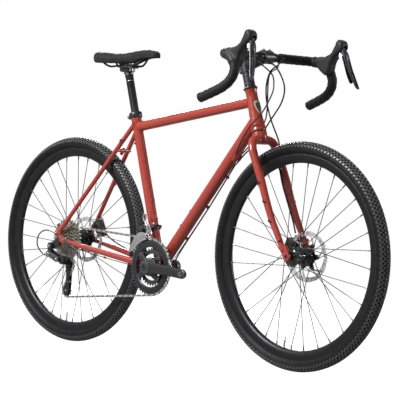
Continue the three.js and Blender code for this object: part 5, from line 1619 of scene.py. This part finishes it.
def build_seatpost():
    post = Shape()
    post.revolve(BB, SEAT_UP, [(12, 401), (13.6, 401.5), (13.6, 655), (14.4, 660), (14.6, 666), (12, 672)],
                 44)
    post.build("seatpost_tube", "seatpost", BLACK, ["seatpost"])
    mark = Shape()
    mark.revolve(BB, SEAT_UP, [(13.7, 641.0), (13.75, 641.2), (13.75, 643.2), (13.7, 643.4)], 44)
    mark.build("seatpost_ring_mark", "seatpost", SILVER)
    head = Shape()
    head.revolve(V(-278, -19, RAIL_Z - 8), ACROSS, [(9, 0), (13, 1), (13.5, 3), (13.5, 35), (13, 37),
                                                    (9, 38)], 36)
    head.block(V(-284, 0, RAIL_Z - 12), (48, 34, 17), 2, 4)
    head.block(V(-278, 0, RAIL_Z - 3), (46, 54, 8), 0, 2)
    head.block(V(-278, 0, RAIL_Z + 6.4), (38, 54, 6), 0, 2)
    for side in (-1, 1):
        head.block(V(-278, 22 * side, RAIL_Z - 2.2), (40, 13, 8), 0, 2)
        head.block(V(-278, 22 * side, RAIL_Z + 5.6), (38, 12, 6), 0, 2)
    head.build("saddle_clamp", "seatpost", BLACK)
    bolts = Shape()
    for x in (-296, -260):
        bolts.rod(V(x, 0, RAIL_Z - 26), V(x, 0, RAIL_Z + 10), 2.6, sides=16)
        bolts.revolve(V(x, 0, RAIL_Z - 27), UP, [(4.4, 0), (4.4, 5), (3, 6)], 20)
    bolts.build("saddle_clamp_bolts", "seatpost", STEEL)


def build_saddle_pad():
    """A crowned skin over the shell, with a relief channel, a stitched edge seam and a nose patch."""
    pad = Shape()
    pad.rings([saddle_ring(x) for x in saddle_stations(60)])
    obj = pad.build("saddle_padding", "saddle", SADDLE, ["saddle_pad"], smooth=180)
    puff(obj)
    seams = Shape()
    for side in (-1, 1):
        line = [saddle_skin(x, SEAM, side, 0.15) for x in np.linspace(-388, -150, 96)]
        for i in range(0, 94, 2):
            seams.rod(line[i], line[i + 1], 0.5, sides=6, chamfer=0.1)
    seams.build("saddle_stitching", "saddle", PLASTIC, slot="saddle_cover")
    mark = Shape()
    rows = []
    for x in np.linspace(-147, -142, 4):
        across = [saddle_skin(x, k, side, 0.35) for side, order in ((-1, (2, 1)), (1, (0, 1, 2)))
                  for k in order]
        rows.append(across)
    sheet(mark, rows, 0.5)
    mark.build("saddle_nose_patch", "saddle", SILVER, smooth=60)


def build_saddle_shell():
    shell = Shape()
    rings = []
    for x in [-392 + 240 * i / 40 for i in range(41)]:
        width = saddle_width(x) * 0.8
        floor = saddle_top(x) - saddle_depth(x)
        ends = min(1, (x + 392) / 6 + 0.4, (-152 - x) / 6 + 0.4)
        rings.append([V(x, width * ends * math.cos(TAU * k / 32), floor + 15 + 3 * math.sin(TAU * k / 32)
                        * ends) for k in range(32)])
    shell.rings(rings)
    shell.build("saddle_base", "saddle", PLASTIC, ["saddle_shell"])


def build_saddle_rails():
    rails = Shape()
    rail = [(-386, 34, 979), (-377, 31, 970), (-364, 27, 959), (-344, 22.5, RAIL_Z - 1), (-310, 22, RAIL_Z),
            (-278, 22, RAIL_Z), (-246, 22, RAIL_Z), (-230, 21, RAIL_Z + 2), (-212, 16, 965), (-196, 11, 978),
            (-188, 7, 984)]
    rails.sweep(smooth_path(to_side(rail, 1) + to_side(reversed(rail), -1), 120), 3.5, 16)
    rails.build("saddle_wire_rails", "saddle", BLACK, ["saddle_rails"], "chain_steel")


def puff(obj):
    """One subdivision, so the cover reads as a stretched skin over foam."""
    modifier = obj.modifiers.new("skin", "SUBSURF")
    modifier.levels = modifier.render_levels = 1
    apply_modifiers(obj, 180)


# ---- cables ----
REAR_SHIFT_PATH = [(361, -57, 957), (380, -34, 940), (396, -12, 915), (404, -12, 885), (402, -18, 853),
                   (376, -30, 798), (322, -30, 750), (280, -24, 700)]
FRONT_SHIFT_PATH = [(358, 57, 957), (368, 40, 940), (358, 14, 912), (344, 26, 813), (332, 30, 772),
                    (300, 29, 722), (272, 24, 690)]
REAR_BRAKE_PATH = [(371, -57, 966), (390, -30, 955), (398, 5, 938), (404, 36, 885), (390, 42, 833),
                   (350, 30, 768), (305, 22, 705), (262, 14, 664), (244, 12, 645)]
FRONT_BRAKE_PATH = [(371, 57, 966), (384, 28, 950), (378, -2, 926), (366, -5, 885), (357, 8, 835),
                    (362, 27, 775), (386, 41, 706), (384, 42, 668), (401, 42, 590), (427, 42, 527),
                    (455, 42, 464), (456, 50, 440), (456, 56, 424)]
DERAILLEUR_LOOP_PATH = [(-480, -84, 351), (-520, -89, 374), (-568, -95, 384), (-606, -95, 366),
                        (-616, -92, 330), (-596, -86, 303), (-578, -84, 296)]


def cable(name, points, node=None, radius=2.2, body="frame", count=60):
    """A cable through points. With no body it is attached to neither the frame nor the steering."""
    shape = Shape()
    shape.sweep(smooth_path([V(*p) for p in points], count), radius, 14, chamfer=0.3)
    obj = shape.build(name, body, CABLE, [node] if node else ())
    if not body:
        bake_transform(obj)


def build_cables():
    for side, name, path in ((-1, "rear_shift", REAR_SHIFT_PATH), (1, "front_shift", FRONT_SHIFT_PATH)):
        cable(f"{name}_cable", [*path, on_down_tube(508, -15.5, 11.7 * side)], f"{name}_housing", body=None)
        cable(f"{name}_wire", [on_down_tube(488, -18.4, 11.7 * side), under_down_tube(250, 5, 9 * side),
                               under_down_tube(20, 5, 5 * side)], radius=1.1)
    cable("rear_brake_cable", [*REAR_BRAKE_PATH, under_down_tube(470, 2.8, 6)], "rear_brake_housing", 2.5,
          body=None, count=80)
    cable("rear_brake_line", [under_down_tube(472, 2.8, 6), under_down_tube(300, 8.5, 6),
                              under_down_tube(90, 8.5, 8), (BB.x + 26, 22, BB.z - 12),
                              (BB.x - 10, 26, BB.z - 25), (-180, 44, BB.z + 3), (-300, 62, BB.z + 38),
                              (-410, 74, BB.z + 72), (-452, 75, 384), (-462, 74, 410)], radius=2.5,
          count=110)
    cable("front_brake_cable", FRONT_BRAKE_PATH, "front_brake_housing", 2.5, body="steering", count=90)
    cable("derailleur_loop_cable", DERAILLEUR_LOOP_PATH, "rear_derailleur_loop")
    cable("chainstay_wire", [(BB.x + 6, -6, BB.z - 23), (BB.x - 18, -20, BB.z - 19), (-150, -33, BB.z - 6),
                             (-300, -55, BB.z + 18), (-430, -72, BB.z + 43), (-466, -79, 345)], radius=1.4)
    guide = Shape()
    guide.block(V(BB.x + 2, 0, BB.z - BB_R - 1.6), (26, 26, 5), 8, 1.6)
    guide.rod(V(-458, -77, 340), V(-482, -84, 352), 3.4, sides=18)
    guide.rod(V(-300, -55, BB.z + 18), V(-308, -56, BB.z + 20), 3.2, sides=14)
    for distance in CABLE_GUIDES:
        guide.block(under_down_tube(distance, 5.5, 6), (8, 9, 9), 50, 1)
    guide.build("cable_guides", "frame", PLASTIC)


# ---- stage, light and camera ----
WORLD_LIGHT = 0.5
BRIGHT_SIDE = (-0.45, -0.30, 0.84)
FLOOR_RADIUS = 3.4
FLOOR_HEIGHT = -0.0004


def floor_material():
    """Pale to the camera, with a faint shadow, but dim as a reflector so that undersides stay dark."""
    n = Nodes(bpy.data.materials.new("pale_floor"))
    tone = n.mix(n.spread(n.noise(2, 3), 0, 1), (0.26, 0.26, 0.26), (0.30, 0.30, 0.30))
    n.link(tone, n.shader.inputs["Base Color"])
    n.shader.inputs["Roughness"].default_value = 0.8
    glow = n.add("ShaderNodeEmission", {"Strength": 0.96})
    lit = n.add("ShaderNodeAddShader")
    n.link(n.shader.outputs["BSDF"], lit.inputs[0])
    n.link(glow.outputs["Emission"], lit.inputs[1])
    n.show(lit.outputs["Shader"], n.shader.outputs["BSDF"], "Material Output")
    return n.owner


def build_stage():
    count = 64
    rim = [(*spot(FLOOR_RADIUS, TAU * k / count), FLOOR_HEIGHT) for k in range(count)]
    mesh = bpy.data.meshes.new("studio_floor")
    mesh.from_pydata(rim, [], [list(range(count))])
    mesh.materials.append(floor_material())
    new_object("studio_floor", mesh)


def area_light(name, place, target, size, watts):
    light = bpy.data.lights.new(name, "AREA")
    light.shape = "DISK"
    light.size = size
    light.energy = watts
    obj = new_object(name, light)
    obj.location = place
    obj.rotation_euler = (Vector(target) - Vector(place)).to_track_quat("-Z", "Y").to_euler()


def build_world():
    """White to the camera, but as a light source bright from one side only."""
    world = bpy.data.worlds.new("studio")
    bpy.context.scene.world = world
    n = Nodes(world)
    seen = n.tree.nodes["Background"]
    seen.inputs["Color"].default_value = (1, 1, 1, 1)
    seen.inputs["Strength"].default_value = 1.0
    lighting = n.add("ShaderNodeBackground", {"Strength": WORLD_LIGHT})
    ramp = n.add("ShaderNodeValToRGB")
    stops = ((0.48, (0.05, 0.05, 0.055, 1)), (0.85, (1, 1, 1, 1)))
    for stop, (position, colour) in zip(ramp.color_ramp.elements, stops):
        stop.color, stop.position = colour, position
    toward = n.add("ShaderNodeVectorMath", operation="DOT_PRODUCT")
    toward.inputs[1].default_value = Vector(BRIGHT_SIDE).normalized()
    n.link(n.place["Generated"], toward.inputs[0])
    n.link(n.spread(toward.outputs["Value"], 0, 1, -1, 1), ramp.inputs["Fac"])
    n.link(ramp.outputs["Color"], lighting.inputs["Color"])
    n.show(seen.outputs["Background"], lighting.outputs["Background"], "World Output")


def build_lights():
    area_light("key_light", (-1.0, -3.8, 3.2), (0, 0, 0.5), 1.3, 230)
    area_light("front_light", (4.6, -2.6, 2.8), (0.3, 0, 0.5), 1.0, 10)
    area_light("rim_light", (-3.0, 2.4, 2.6), (0, 0, 0.6), 1.2, 90)
    area_light("edge_light", (3.4, 3.4, 1.5), (0.4, 0, 0.5), 1.0, 70)
    bpy.context.scene.view_settings.view_transform = "Standard"


CAMERA_AZIMUTH = 45.0
CAMERA_ELEVATION = 0.95
CAMERA_ROLL = 2.03
CAMERA_LENS = 164.4
CAMERA_TARGET = Vector((0.0418, 0.0431, 0.5125))
CAMERA_DISTANCE = 5.99


def build_camera():
    camera = bpy.data.cameras.new("camera")
    camera.lens = CAMERA_LENS
    camera.sensor_width = 36
    obj = new_object("camera", camera)
    azimuth, elevation, roll = (math.radians(a) for a in (CAMERA_AZIMUTH, CAMERA_ELEVATION, CAMERA_ROLL))
    back = Vector((math.sin(azimuth) * math.cos(elevation), -math.cos(azimuth) * math.cos(elevation),
                   math.sin(elevation)))
    level = Vector((math.cos(azimuth), math.sin(azimuth), 0))
    upright = back.cross(level)
    right = level * math.cos(roll) + upright * math.sin(roll)
    up = upright * math.cos(roll) - level * math.sin(roll)
    turn = Matrix((right, up, back)).transposed().to_4x4()
    obj.matrix_world = Matrix.Translation(CAMERA_TARGET + back * CAMERA_DISTANCE) @ turn
    bpy.context.scene.camera = obj


build_frame()
build_seat_clamp()
build_headset()
build_bottom_bracket()
build_chain()
build_cassette()
build_pulleys()
build_cranks()
build_hanger()
build_knuckles()
build_links()
build_cage()
build_derailleur_bolts()
build_derailleur_band()
build_front_cage()
build_front_anchor()
build_brakes()
build_fork()
build_axles()
build_spacers()
build_stem()
build_top_cap()
build_bar()
for side, word in ((-1, "right"), (1, "left")):
    build_tape(side, word)
    build_hood(side, word)
    build_lever(side, word)
    build_paddle(side, word)
wheel_shapes = side_wall_shape(), tread_shape(), rim_shape()
build_wheel("front", FRONT, 24, -32, 49.6, -49.6, joint_at("front_brake_arm").y, wheel_shapes, -100)
build_wheel("rear", REAR, 34, -20, 70.4, -28.6, joint_at("rear_brake_arm").y, wheel_shapes, -96)
build_seatpost()
build_saddle_pad()
build_saddle_shell()
build_saddle_rails()
build_cables()
build_stage()
build_world()
build_lights()
build_camera()
